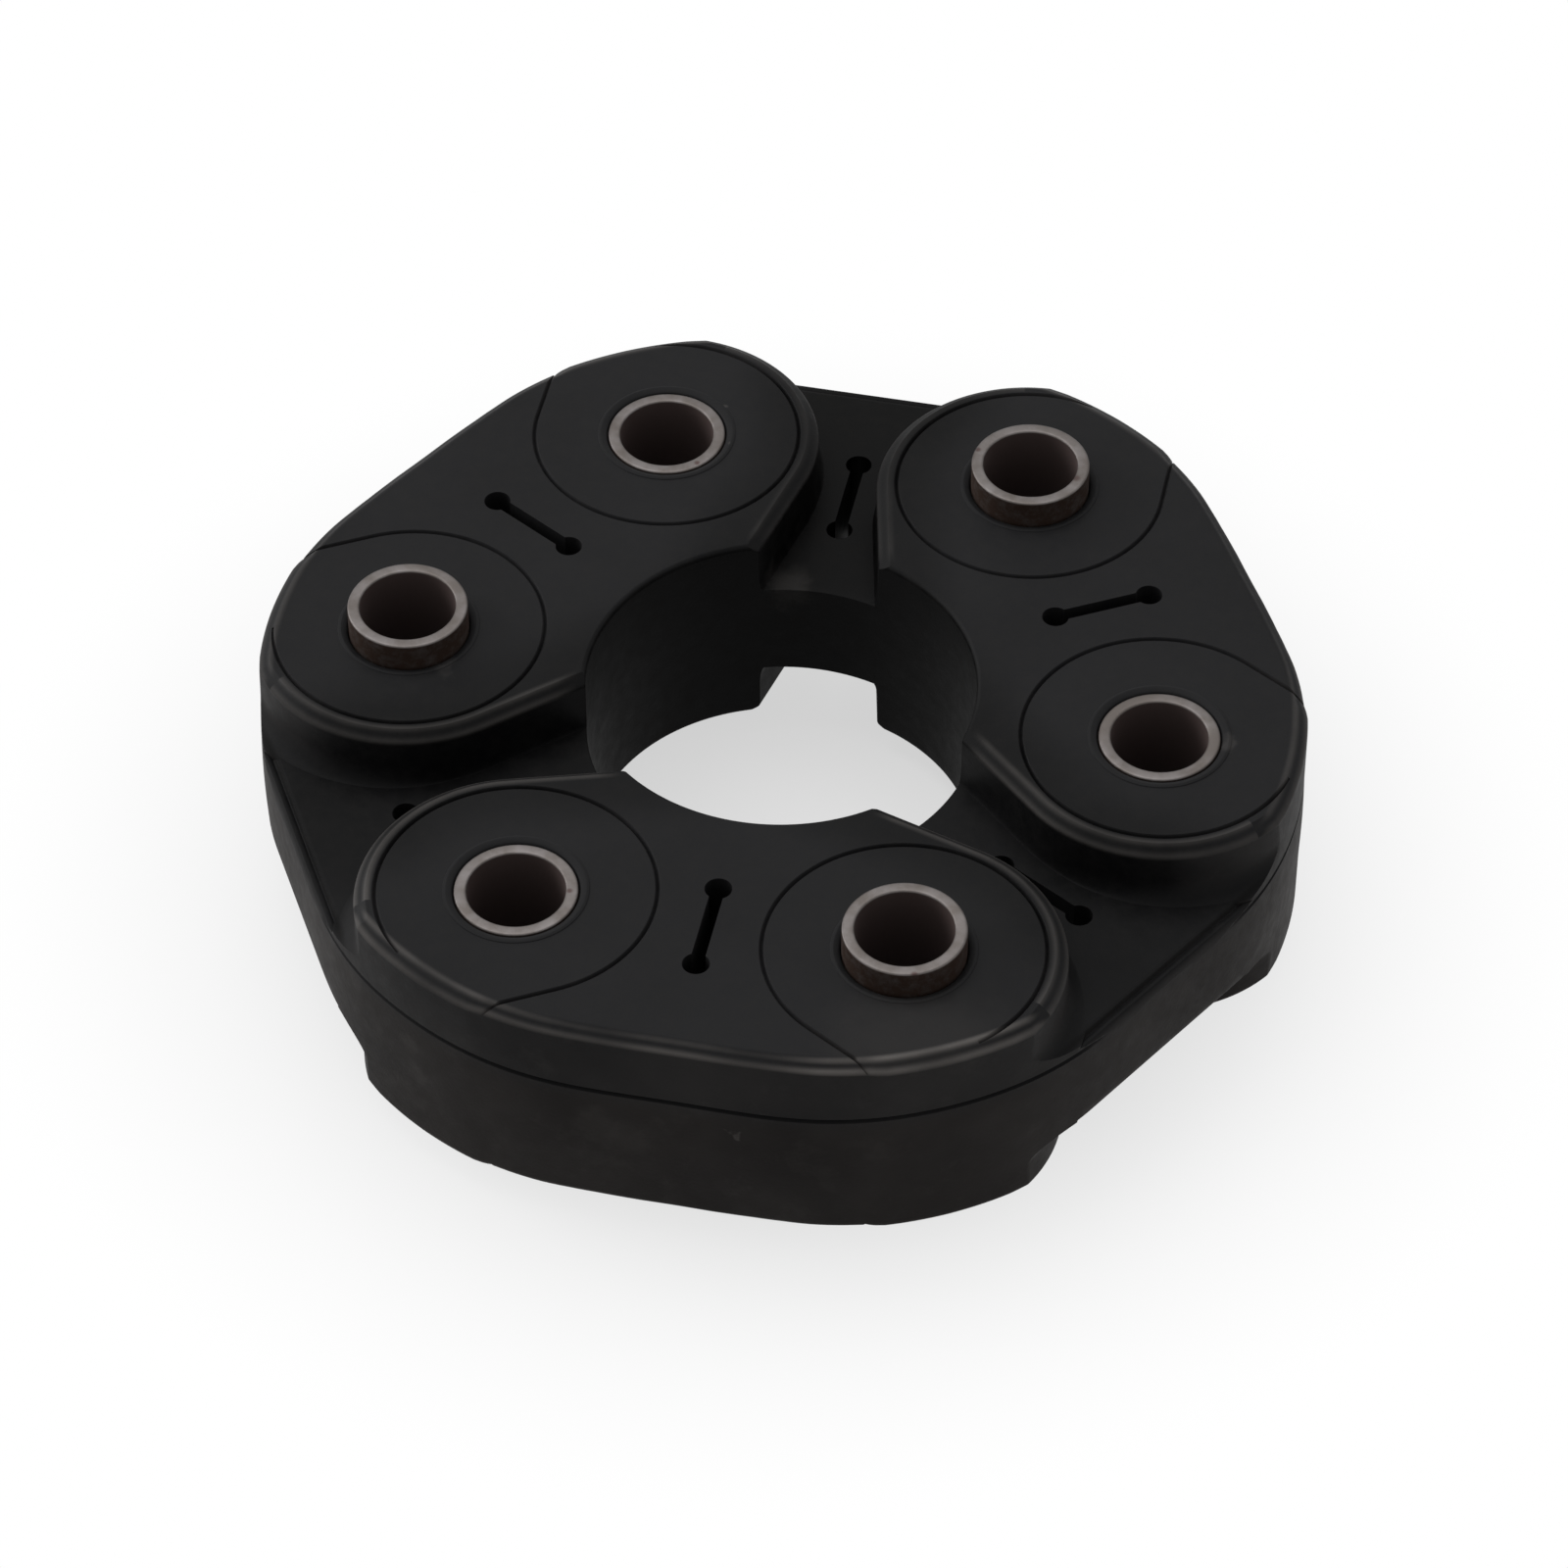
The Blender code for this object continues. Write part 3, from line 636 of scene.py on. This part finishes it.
def rubber_material(colours, sizes):
    """Moulded natural rubber: near black and dull, cloudy and a little brown on the side wall, with pale dust rubbed
    into scuffs, painted shade below the pads' faces, by the pads' ends, in the creases and in the centre hole, and
    painted highlights as two pale lines along the bevelled edges."""
    material, tree, place = new_material("moulded_natural_rubber")
    half, line = sizes.thickness / 2, sizes.line_height
    xyz = add_node(tree, "ShaderNodeSeparateXYZ", {0: place}, out=None)
    reach, level = from_axis(tree, place), levelness(tree)
    height = add_node(tree, "ShaderNodeMath", {0: xyz["Z"]}, operation="ABSOLUTE")
    inside, from_end, across, from_middle = edge_distance(tree, xyz, reach, sizes)
    # Clouds about 20 mm across, waves 11 mm, scuffs 6 mm, ragged outlines, mottling about 2 mm, and mould
    # grain about 0.5 mm across, which is coarser than the real grain so that it shows
    clouds, waves, scuffs, ragged, mottle, grain = [
        add_node(
            tree, "ShaderNodeTexNoise", {"Vector": place, "Scale": scale, "Detail": detail, "Roughness": rough}, out
        )
        for scale, detail, rough, out in (
            (50.0, 3.0, 0.55, "Fac"), (90.0, 2.0, 0.5, "Fac"), (170.0, 5.0, 0.65, "Fac"),
            (420.0, 3.0, 0.5, "Color"), (520.0, 4.0, 0.65, "Fac"), (1900.0, 2.0, 0.6, "Fac"),
        )
    ]
    # Painted shade on the far web's floor, where the edges' painted highlights are also weaker
    far_web = spot(tree, place, (0, 44 * MM, 8 * MM), 24 * MM, 0.3)
    # Each one's source, the values where it starts and ends, and what it gives there
    ramps = {}
    for name, source, start, end, low, high in (
        ("steep", level, 0.75, 0.2, 0.0, 1.0),
        ("outer", reach, 56 * MM, 60 * MM, 0.0, 1.0),
        ("below_line", xyz["Z"], line, line - 2 * MM, 0.25, 1.0),
        # This ramp and the four below it are masks for painted shade: towards the pads' ends, below the pads' faces
        # and in the centre hole
        ("by_end", from_end, 13 * MM, 3 * MM, 0.0, 0.6),
        ("towards_web", across, 0.0, 12 * MM, 0.0, 1.0),
        ("below_face", height, 14.6 * MM, 13.6 * MM, 0.0, 0.9),
        ("sunk", height, 14.2 * MM, 9.5 * MM, 0.0, 0.38),
        ("in_hole", reach, 24.9 * MM, 24.6 * MM, 0.0, 0.85),
        ("faces_up", level, 0.1, 0.35, 0.0, 0.85),
        ("cloudy", clouds, 0.35, 0.65, 0.18, 0.0),
        ("patches", clouds, 0.35, 0.75, 0.0, 0.07),
        ("scuffed", scuffs, 0.55, 0.85, 0.0, 0.07),
        ("film", mottle, 0.4, 0.75, 0.0, 0.02),
        ("at_edge", inside, 1.4 * MM, 0.8 * MM, 0.0, 1.0),
        ("off_hole", reach, 25.5 * MM, 28 * MM, 0.0, 1.0),
        ("broken", clouds, 0.3, 0.62, 0.35, 1.0),
        ("off_far_web", far_web, 0.0, 1.0, 1.0, 0.25),
        ("rough", mottle, 0.3, 0.7, 0.52, 0.64),
    ):
        ramps[name] = add_node(
            tree,
            "ShaderNodeMapRange",
            {"Value": source, "From Min": start, "From Max": end, "To Min": low, "To Max": high},
            interpolation_type="SMOOTHSTEP" if name in ("by_end", "towards_web") else "LINEAR",
        )
    # Painted shade in the crease along a web's outer edge
    crease = band(tree, from_middle, sizes.wall_at_flank - 1.3 * MM, 1.3 * MM)
    at_floor = band(tree, height, half - sizes.valley_depth, 1.3 * MM)
    # Masks for the painted highlights along the bevelled band's top and lower edges
    top_edge = band(tree, inside, sizes.edge_inset, 0.75 * MM)
    at_top = band(tree, height, half, 0.6 * MM)
    low_edge = band(tree, height, half - sizes.edge_drop, 0.6 * MM)
    wall, by_end, far_floor, crease, top_edge, low_edge = [
        add_node(tree, "ShaderNodeMath", {0: a, 1: b}, operation="MULTIPLY")
        for a, b in (
            (ramps["steep"], ramps["outer"]), (ramps["by_end"], ramps["towards_web"]),
            (far_web, ramps["below_face"]), (crease, at_floor), (top_edge, at_top), (low_edge, ramps["at_edge"]),
        )
    ]
    bloom = add_node(tree, "ShaderNodeMath", {0: wall, 1: ramps["below_line"]}, operation="MULTIPLY")
    base = add_node(
        tree,
        "ShaderNodeMix",
        {"Factor": bloom, "A": rgba(colours.rubber), "B": rgba(colours.rubber_brown)},
        data_type="RGBA",
        out=2,
    )
    # Painted shade: darker below the pads' faces, on the far web and towards the pads' ends, kept off the side wall,
    #  darkest in the centre hole and in the crease along a web's outer edge; the clouds add random darker tone
    off_wall = add_node(tree, "ShaderNodeMath", {0: 1.0, 1: wall}, operation="SUBTRACT")
    crease = add_node(tree, "ShaderNodeMath", {0: crease, 1: ramps["faces_up"]}, operation="MULTIPLY")
    dark = ramps["sunk"]
    for other, operation in (
        (far_floor, "MAXIMUM"), (by_end, "MAXIMUM"), (off_wall, "MULTIPLY"),
        (ramps["in_hole"], "MAXIMUM"), (crease, "MAXIMUM"), (ramps["cloudy"], "ADD"),
    ):
        dark = add_node(tree, "ShaderNodeMath", {0: dark, 1: other}, operation=operation, use_clamp=True)
    base = add_node(tree, "ShaderNodeMix", {"Factor": dark, "A": base, "B": (0, 0, 0, 1)}, data_type="RGBA", out=2)
    # Dust and painted highlights: cloudy dust patches and small scuffs on the side wall, a trace on the faces, and
    # the marks, a few of them painted highlights
    dust_and_highlight = ramps["patches"]
    for other, operation in ((ramps["scuffed"], "ADD"), (wall, "MULTIPLY"), (ramps["film"], "ADD")):
        dust_and_highlight = add_node(tree, "ShaderNodeMath", {0: dust_and_highlight, 1: other}, operation=operation)
    ragged = add_node(tree, "ShaderNodeVectorMath", {0: ragged, 1: (0.5, 0.5, 0.5)}, operation="SUBTRACT")
    ragged = add_node(
        tree, "ShaderNodeVectorMath", {0: ragged, 1: (5 * MM, 5 * MM, 5 * MM), 2: place}, operation="MULTIPLY_ADD"
    )
    for x, y, z, radius, pale in PALE_MARKS_AND_HIGHLIGHTS:
        mark = spot(tree, ragged, (x * MM, y * MM, z * MM), radius * MM)
        dust_and_highlight = add_node(tree, "ShaderNodeMath", {0: mark, 1: pale, 2: dust_and_highlight}, operation="MULTIPLY_ADD")
    # Painted highlights along the bevelled band's two edges, broken up along their length, strongest in front
    edges = top_edge
    for other, operation in (
        (low_edge, "MAXIMUM"), (ramps["off_hole"], "MULTIPLY"),
        (ramps["broken"], "MULTIPLY"), (ramps["off_far_web"], "MULTIPLY"),
    ):
        edges = add_node(tree, "ShaderNodeMath", {0: edges, 1: other}, operation=operation)
    front = spot(tree, place, (28 * MM, -57 * MM, 14.5 * MM), 14 * MM, 0.5)
    front_left = spot(tree, place, (-22 * MM, -60 * MM, 14.5 * MM), 30 * MM, 0.3)
    front = add_node(
        tree, "ShaderNodeMath", {0: front_left, 1: 0.42, 2: front}, operation="MULTIPLY_ADD", use_clamp=True
    )
    highlight_strength = add_node(tree, "ShaderNodeMapRange", {"Value": front, "To Min": 0.17, "To Max": 0.8})
    dust_and_highlight = add_node(tree, "ShaderNodeMath", {0: edges, 1: highlight_strength, 2: dust_and_highlight}, operation="MULTIPLY_ADD", use_clamp=True)
    tone = add_node(
        tree, "ShaderNodeMix", {"Factor": dust_and_highlight, "A": base, "B": rgba(colours.dust_and_highlight)}, data_type="RGBA", out=2
    )
    bump = None
    for noise, strength, distance in ((waves, 0.3, 0.6 * MM), (grain, 0.22, 0.1 * MM)):
        links = {"Height": noise, "Strength": strength, "Distance": distance}
        bump = add_node(tree, "ShaderNodeBump", links | ({"Normal": bump} if bump else {}))
    rough = add_node(tree, "ShaderNodeMath", {0: edges, 1: -0.16, 2: ramps["rough"]}, operation="MULTIPLY_ADD")
    shader = add_node(
        tree,
        "ShaderNodeBsdfPrincipled",
        {"Base Color": tone, "Roughness": rough, "IOR": 1.52, "Specular IOR Level": 0.06, "Normal": bump},
    )
    add_node(tree, "ShaderNodeOutputMaterial", {"Surface": shader})
    return material


# Marks on the sleeves' ends: x, y in mm, radius in mm, and dark (-1), dull (0) or bright (1)
SLEEVE_MARKS = {
    1: ((43.0, 4.0, 5.0, 0), (54.9, 0.0, 2.5, 0)),
    2: ((30.2, 40.1, 0.5, -1), (16.9, 42.8, 0.35, -1)),
    3: ((-23.0, 35.6, 0.7, 1), (-18.9, 36.8, 0.35, -1)),
    5: ((-17.6, -40.5, 0.35, -1),),
    6: ((26.6, -48.7, 0.4, -1),),
}


def steel_material(colours, sizes, centre, top, marks):
    """Zinc-plated turned steel gone dull: a grey land, stains, dark rust down the outside, dark bore."""
    material, tree, place = new_material("plated_turned_steel")
    reach, level = from_axis(tree, place, *centre), levelness(tree)
    stains, flakes = [
        add_node(
            tree, "ShaderNodeTexNoise", {"Vector": place, "Scale": scale, "Detail": detail, "Roughness": rough}
        )
        for scale, detail, rough in ((330.0, 5.0, 0.6), (700.0, 6.0, 0.7))
    ]
    # Bright patches, the outside below its rounded end, the rust's spread, and the scale in the bore
    patches, side, spread, scale = [
        add_node(tree, "ShaderNodeMapRange", {"Value": source, "From Min": start, "From Max": end, "To Min": low})
        for source, start, end, low in (
            (stains, 0.36, 0.66, 0.0), (level, 0.55, 0.12, 0.0), (flakes, 0.3, 0.55, 0.6), (level, 0.4, 0.12, 0.0)
        )
    ]
    finish = add_node(
        tree,
        "ShaderNodeMix",
        {"Factor": patches, "A": rgba(colours.steel_dull), "B": rgba(colours.steel)},
        data_type="RGBA",
        out=2,
    )
    middle = (sizes.bore_radius + sizes.sleeve_radius) / 2
    outside = add_node(tree, "ShaderNodeMath", {0: reach, 1: middle}, operation="GREATER_THAN")
    inside = add_node(tree, "ShaderNodeMath", {0: 1.0, 1: outside}, operation="SUBTRACT")
    rust, scale = [
        add_node(tree, "ShaderNodeMath", {0: a, 1: b}, operation="MULTIPLY")
        for a, b in ((side, outside), (scale, inside))
    ]
    rust = add_node(tree, "ShaderNodeMath", {0: rust, 1: spread}, operation="MULTIPLY")
    layers = []
    for x, y, radius, bright in marks:
        shade = (colours.steel_dull, colours.steel, colours.bore)[bright]
        layers.append((spot(tree, place, (x * MM, y * MM, top), radius * MM), shade))
    for amount, shade in layers + [(rust, colours.rust), (scale, colours.bore)]:
        finish = add_node(
            tree, "ShaderNodeMix", {"Factor": amount, "A": finish, "B": rgba(shade)}, data_type="RGBA", out=2
        )
    dull = add_node(tree, "ShaderNodeMath", {0: rust, 1: scale}, operation="MAXIMUM")
    metal, rough = [
        add_node(tree, "ShaderNodeMapRange", {"Value": dull, "To Min": low, "To Max": high})
        for low, high in ((1.0, 0.0), (0.5, 0.75))
    ]
    bump = add_node(tree, "ShaderNodeBump", {"Height": flakes, "Strength": 0.25, "Distance": 0.1 * MM})
    shader = add_node(
        tree,
        "ShaderNodeBsdfPrincipled",
        {"Base Color": finish, "Metallic": metal, "Roughness": rough, "Specular IOR Level": 0.15, "Normal": bump},
    )
    add_node(tree, "ShaderNodeOutputMaterial", {"Surface": shader})
    return material


def bush_material(colours):
    """Glass-filled moulded polymer: matt beige grey with a faint fibre fleck."""
    material, tree, place = new_material("glass_filled_polymer")
    fleck = add_node(tree, "ShaderNodeTexNoise", {"Vector": place, "Scale": 900.0, "Detail": 3.0})
    tone = add_node(
        tree, "ShaderNodeMapRange", {"Value": fleck, "From Min": 0.3, "From Max": 0.7, "To Min": 0.85, "To Max": 1.1}
    )
    shade = add_node(tree, "ShaderNodeVectorMath", {0: colours.bush, "Scale": tone}, operation="SCALE")
    bump = add_node(tree, "ShaderNodeBump", {"Height": fleck, "Strength": 0.2, "Distance": 0.1 * MM})
    shader = add_node(tree, "ShaderNodeBsdfPrincipled", {"Base Color": shade, "Roughness": 0.55, "Normal": bump})
    add_node(tree, "ShaderNodeOutputMaterial", {"Surface": shader})
    return material


def cord_material(colours):
    """Twisted polyester cord: pale, matt and slightly uneven, with its twist as fine slanting bands."""
    material, tree, place = new_material("twisted_polyester_cord")
    # Twist bands 1.2 mm apart
    twist = add_node(
        tree,
        "ShaderNodeTexWave",
        {"Vector": place, "Scale": 130.0, "Distortion": 1.5, "Detail": 2.0},
        bands_direction="DIAGONAL",
    )
    fibres = add_node(tree, "ShaderNodeTexNoise", {"Vector": place, "Scale": 1500.0, "Detail": 3.0})
    tone = add_node(tree, "ShaderNodeMath", {0: twist, 1: fibres}, operation="MULTIPLY")
    tone = add_node(tree, "ShaderNodeMapRange", {"Value": tone, "To Min": 0.6, "To Max": 1.1})
    shade = add_node(tree, "ShaderNodeVectorMath", {0: colours.cord, "Scale": tone}, operation="SCALE")
    bump = add_node(tree, "ShaderNodeBump", {"Height": twist, "Strength": 0.5, "Distance": 0.2 * MM})
    shader = add_node(
        tree,
        "ShaderNodeBsdfPrincipled",
        {"Base Color": shade, "Roughness": 0.8, "Sheen Weight": 0.2, "Normal": bump},
    )
    add_node(tree, "ShaderNodeOutputMaterial", {"Surface": shader})
    return material


class FLEXDISC_OT_rubber(Operator):
    """Mould the rubber disc: pads, webs, slits, grooves and sleeve holes"""

    bl_idname = "flexdisc.rubber"
    bl_label = "Rubber disc"
    bl_options = {"REGISTER", "UNDO"}

    def execute(self, context):
        sizes = context.scene.flexdisc_sizes
        half = sizes.thickness / 2
        disc = blank_disc(sizes)
        combine(disc, turned("centre_hole", both_mouths(sizes.hole_radius, half, 0.8 * MM), 180))
        combine(disc, copied([valley(sizes)], with_lower_face(about_axis(3, pi / 2))))
        lips = copied([sleeve_lip(sizes)], with_lower_face(about_axis(SLEEVES)))
        combine(disc, lips, "UNION")
        around = sizes.sleeve_radius + 0.12 * MM
        opening = turned("sleeve_hole", both_mouths(around, half, 0.5 * MM), 96, (sizes.pitch_radius, 0))
        combine(disc, copied([opening], about_axis(SLEEVES)))
        combine(disc, copied([slit(sizes)], about_axis(SLEEVES, HALF_STEP)))
        mirrored = [place @ Matrix.Scale(-1, 4, (0, 1, 0)) for place in about_axis(3, pi / 3)]
        combine(disc, copied([ring_groove(sizes)], with_lower_face(about_axis(3) + mirrored)))
        soften_rims(disc, sizes)
        smoothed(disc, 34)
        dressed(disc, rubber_material(context.scene.flexdisc_colours, sizes), "black_rubber", "rubber_body")
        return {"FINISHED"}


class FLEXDISC_OT_sleeves(Operator):
    """Turn the six steel bolt sleeves, proud of the upper and the lower face in turn"""

    bl_idname = "flexdisc.sleeves"
    bl_label = "Bolt sleeves"
    bl_options = {"REGISTER", "UNDO"}

    def execute(self, context):
        sizes = context.scene.flexdisc_sizes
        for number in range(1, SLEEVES + 1):
            low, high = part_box(f"bolt_sleeve_{number}")
            centre, middle = sleeve_centre(sizes, number), (low.z + high.z) / 2
            outer, inner = sizes.sleeve_radius, sizes.bore_radius
            tube = [(outer, middle), (outer, high.z), (inner, high.z), (inner, low.z), (outer, low.z)]
            profile = softened(tube + [(outer, middle)], SLEEVE_ROUNDING, 5)
            piece = turned(f"sleeve_{number}", profile[:-1], 96, centre, closed=True)
            smoothed(piece, 40)
            marks = SLEEVE_MARKS.get(number, ())
            steel = steel_material(context.scene.flexdisc_colours, sizes, centre, high.z, marks)
            dressed(piece, steel, "plated_steel", f"bolt_sleeve_{number}")
        return {"FINISHED"}


class FLEXDISC_OT_bushes(Operator):
    """Turn the collar bushes that hold the cord loops round the sleeves"""

    bl_idname = "flexdisc.bushes"
    bl_label = "Collar bushes"
    bl_options = {"REGISTER", "UNDO"}

    def execute(self, context):
        sizes = context.scene.flexdisc_sizes
        polymer = bush_material(context.scene.flexdisc_colours)
        bore = sizes.sleeve_radius + 0.3 * MM
        core, collar, top = bore + 2.0 * MM, bore + 5.4 * MM, 12.2 * MM
        collar_top, collar_foot = 4.4 * MM, 3.6 * MM
        upper = [(core, top), (core, collar_top), (collar, collar_top), (collar, collar_foot), (core, collar_foot)]
        outside = upper + [(r, -z) for r, z in reversed(upper)]
        profile = [(bore, 0.0), (bore, top)] + outside + [(bore, -top), (bore, 0.0)]
        profile = softened(profile, 0.25 * MM, 3)[:-1]
        for number in range(1, SLEEVES + 1):
            piece = turned(f"bush_{number}", profile, 64, sleeve_centre(sizes, number), closed=True)
            smoothed(piece, 40)
            dressed(piece, polymer, "moulded_polymer", f"collar_bush_{number}")
        return {"FINISHED"}


def cord_section(low, high, width):
    """A wound loop's section, scalloped by the turns of cord that show on its four sides."""
    points = []
    corners = [(low.x, low.y), (high.x, low.y), (high.x, high.y), (low.x, high.y)]
    for start, end in zip(corners, corners[1:] + corners[:1]):
        start, end = Vector(start), Vector(end)
        along = (end - start).normalized()
        outward = Vector((along.y, -along.x))
        turns = max(1, round((end - start).length / width))
        pitch = (end - start).length / turns
        for turn in range(turns):
            for i in range(4):
                t = (i + 0.5) / 4
                depth = pitch * 0.5 * (1 - sqrt(1 - (2 * t - 1) ** 2))
                points.append(start + along * pitch * (turn + t) - outward * depth)
    return points


def cord_loop(name, low, high, sizes, angle):
    """A scalloped section spun round one sleeve, run to the next, spun there and run back."""
    link, reach = link_point(sizes)
    section = cord_section(low, high, sizes.cord_width)
    item = drawn_outline(name, [(-p.x, reach, p.y) for p in section], filled=False)
    for y in (reach, -reach):
        bpy.ops.mesh.spin(steps=28, angle=pi, center=(0, y, 0), axis=(0, 0, 1))
        extruded((0, -2 * y, 0))
    finished(item)
    item.data.transform(Matrix.Rotation(angle, 4, "Z") @ Matrix.Translation((link, 0, 0)))
    return item


class FLEXDISC_OT_cords(Operator):
    """Wind the nine cord loops that link the sleeves in pairs"""

    bl_idname = "flexdisc.cords"
    bl_label = "Cord loops"
    bl_options = {"REGISTER", "UNDO"}

    def execute(self, context):
        sizes = context.scene.flexdisc_sizes
        cord = cord_material(context.scene.flexdisc_colours)
        inner = sizes.sleeve_radius + 2.6 * MM
        outer = link_point(sizes)[0] - sizes.hole_radius - 2.2 * MM
        layers = (("pad_cord_loop_upper", pi / 6), ("pad_cord_loop_lower", pi / 6), ("web_cord_loop", pi / 2))
        for layer, first in layers:
            for number in range(1, 4):
                node = f"{layer}_{number}"
                low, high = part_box(node)
                angle = first + 2 * pi / 3 * (number - 1)
                corners = Vector((inner, low.z)), Vector((outer, high.z))
                piece = cord_loop(node.replace("_loop", "_winding"), *corners, sizes, angle)
                smoothed(piece, 60)
                dressed(piece, cord, "wound_cord", node)
        return {"FINISHED"}


def seen_directly(tree):
    """1 where the camera sees a thing directly, in a mirror or through glass."""
    rays = add_node(tree, "ShaderNodeLightPath", out=None)
    seen = rays["Is Camera Ray"]
    for other in ("Is Glossy Ray", "Is Transmission Ray"):
        seen = add_node(tree, "ShaderNodeMath", {0: seen, 1: rays[other]}, operation="MAXIMUM")
    return seen


def floor_material():
    """Matt white studio floor that keeps the shadow near the disc and fades to plain white further out."""
    material, tree, place = new_material("matt_white_floor")
    matt = add_node(tree, "ShaderNodeBsdfDiffuse", {"Color": rgba(linear("b8b8b8"))})
    white = add_node(tree, "ShaderNodeEmission", {"Color": (1, 1, 1, 1)})
    reach = add_node(tree, "ShaderNodeVectorMath", {0: place}, operation="LENGTH", out="Value")
    fade = add_node(
        tree,
        "ShaderNodeMapRange",
        {"Value": reach, "From Min": 30 * MM, "From Max": 110 * MM, "To Min": 0.62},
        interpolation_type="SMOOTHSTEP",
    )
    amount = add_node(tree, "ShaderNodeMath", {0: seen_directly(tree), 1: fade}, operation="MULTIPLY")
    mix = add_node(tree, "ShaderNodeMixShader", {0: amount, 1: matt, 2: white})
    add_node(tree, "ShaderNodeOutputMaterial", {"Surface": mix})
    return material


def studio_world(level):
    """An even white room: white where it is seen, plain soft light on the object."""
    world = bpy.data.worlds.new("white_room")
    world.use_nodes = True
    tree = world.node_tree
    tree.nodes.clear()
    strength = add_node(tree, "ShaderNodeMapRange", {"Value": seen_directly(tree), "To Min": level})
    light = add_node(tree, "ShaderNodeBackground", {"Color": (1, 1, 1, 1), "Strength": strength})
    add_node(tree, "ShaderNodeOutputWorld", {"Surface": light})
    return world


def add_lamp(name, place, width, height, power):
    """A soft area lamp aimed at the disc's middle."""
    bpy.ops.object.light_add(type="AREA", location=place)
    lamp = bpy.context.object
    lamp.name = name
    lamp.data.shape = "RECTANGLE"
    lamp.data.size, lamp.data.size_y = width, height
    lamp.data.energy = power
    lamp.rotation_euler = Vector(place).to_track_quat("Z", "Y").to_euler()


class FLEXDISC_OT_studio(Operator):
    """Set the disc on a white floor with soft lamps and a camera at the product photo's angle"""

    bl_idname = "flexdisc.studio"
    bl_label = "Studio and camera"
    bl_options = {"REGISTER", "UNDO"}

    def execute(self, context):
        select_only()
        low = CAD_BOX[0][2]
        wide, rim = 4.0, 3.7
        bpy.ops.mesh.primitive_circle_add(vertices=96, radius=wide, fill_type="NGON", location=(0, 0, 0))
        floor = context.object
        floor.name = "floor"
        bpy.ops.object.mode_set(mode="EDIT")
        bpy.ops.mesh.inset(thickness=rim)
        bpy.ops.mesh.select_all(action="SELECT")
        bpy.ops.transform.translate(value=(0, 0, low - 0.02 * MM))
        bpy.ops.object.mode_set(mode="OBJECT")
        floor.data.materials.append(floor_material())
        context.scene.world = studio_world(0.38)
        add_lamp("overhead_softbox", (-0.2, 0.22, 0.9), 0.8, 0.6, 5.3)
        add_lamp("left_softbox", (-0.95, 0.2, 0.36), 0.5, 0.5, 5.5)

        # The camera as fitted to the six sleeve rims in the photo
        roll, elevation, azimuth = radians(-0.2603), radians(45.8826), radians(12.1521)
        target, distance, shift_right, shift_up = (0, 0, 15 * MM), 799.14 * MM, 0.39 * MM, -12.95 * MM
        back = Vector((cos(elevation) * sin(azimuth), -cos(elevation) * cos(azimuth), sin(elevation)))
        right = Vector((cos(azimuth), sin(azimuth), 0))
        up = back.cross(right)
        right, up = right * cos(roll) + up * sin(roll), up * cos(roll) - right * sin(roll)
        eye = Vector(target) + back * distance + right * shift_right + up * shift_up
        bpy.ops.object.camera_add(location=eye)
        camera = context.object
        camera.name = "product_camera"
        camera.rotation_euler = Matrix((right, up, back)).transposed().to_euler()
        camera.data.lens = 146.67
        camera.data.sensor_width = 36.0
        camera.data.clip_start = 0.01
        context.scene.camera = camera
        context.scene.view_settings.view_transform = "Standard"
        return {"FINISHED"}


class FLEXDISC_PT_panel(Panel):
    """Builds the flex disc piece by piece"""

    bl_idname = "FLEXDISC_PT_panel"
    bl_label = "Flex Disc"
    bl_space_type = "VIEW_3D"
    bl_region_type = "UI"
    bl_category = "Flex Disc"

    def draw(self, context):
        layout = self.layout
        for group in (context.scene.flexdisc_sizes, context.scene.flexdisc_colours):
            box = layout.box()
            for name in group.__annotations__:
                box.prop(group, name)
        for step in STEPS:
            layout.operator(step.bl_idname)


STEPS = (FLEXDISC_OT_studio, FLEXDISC_OT_rubber, FLEXDISC_OT_sleeves, FLEXDISC_OT_bushes, FLEXDISC_OT_cords)
CLASSES = (FlexDiscSizes, FlexDiscColours, *STEPS, FLEXDISC_PT_panel)


def register():
    for item in CLASSES:
        bpy.utils.register_class(item)
    bpy.types.Scene.flexdisc_sizes = PointerProperty(type=FlexDiscSizes)
    bpy.types.Scene.flexdisc_colours = PointerProperty(type=FlexDiscColours)


def unregister():
    del bpy.types.Scene.flexdisc_colours
    del bpy.types.Scene.flexdisc_sizes
    for item in reversed(CLASSES):
        bpy.utils.unregister_class(item)


def main():
    register()
    bpy.ops.flexdisc.studio()
    bpy.ops.flexdisc.rubber()
    bpy.ops.flexdisc.sleeves()
    bpy.ops.flexdisc.bushes()
    bpy.ops.flexdisc.cords()


if __name__ == "__main__":
    main()
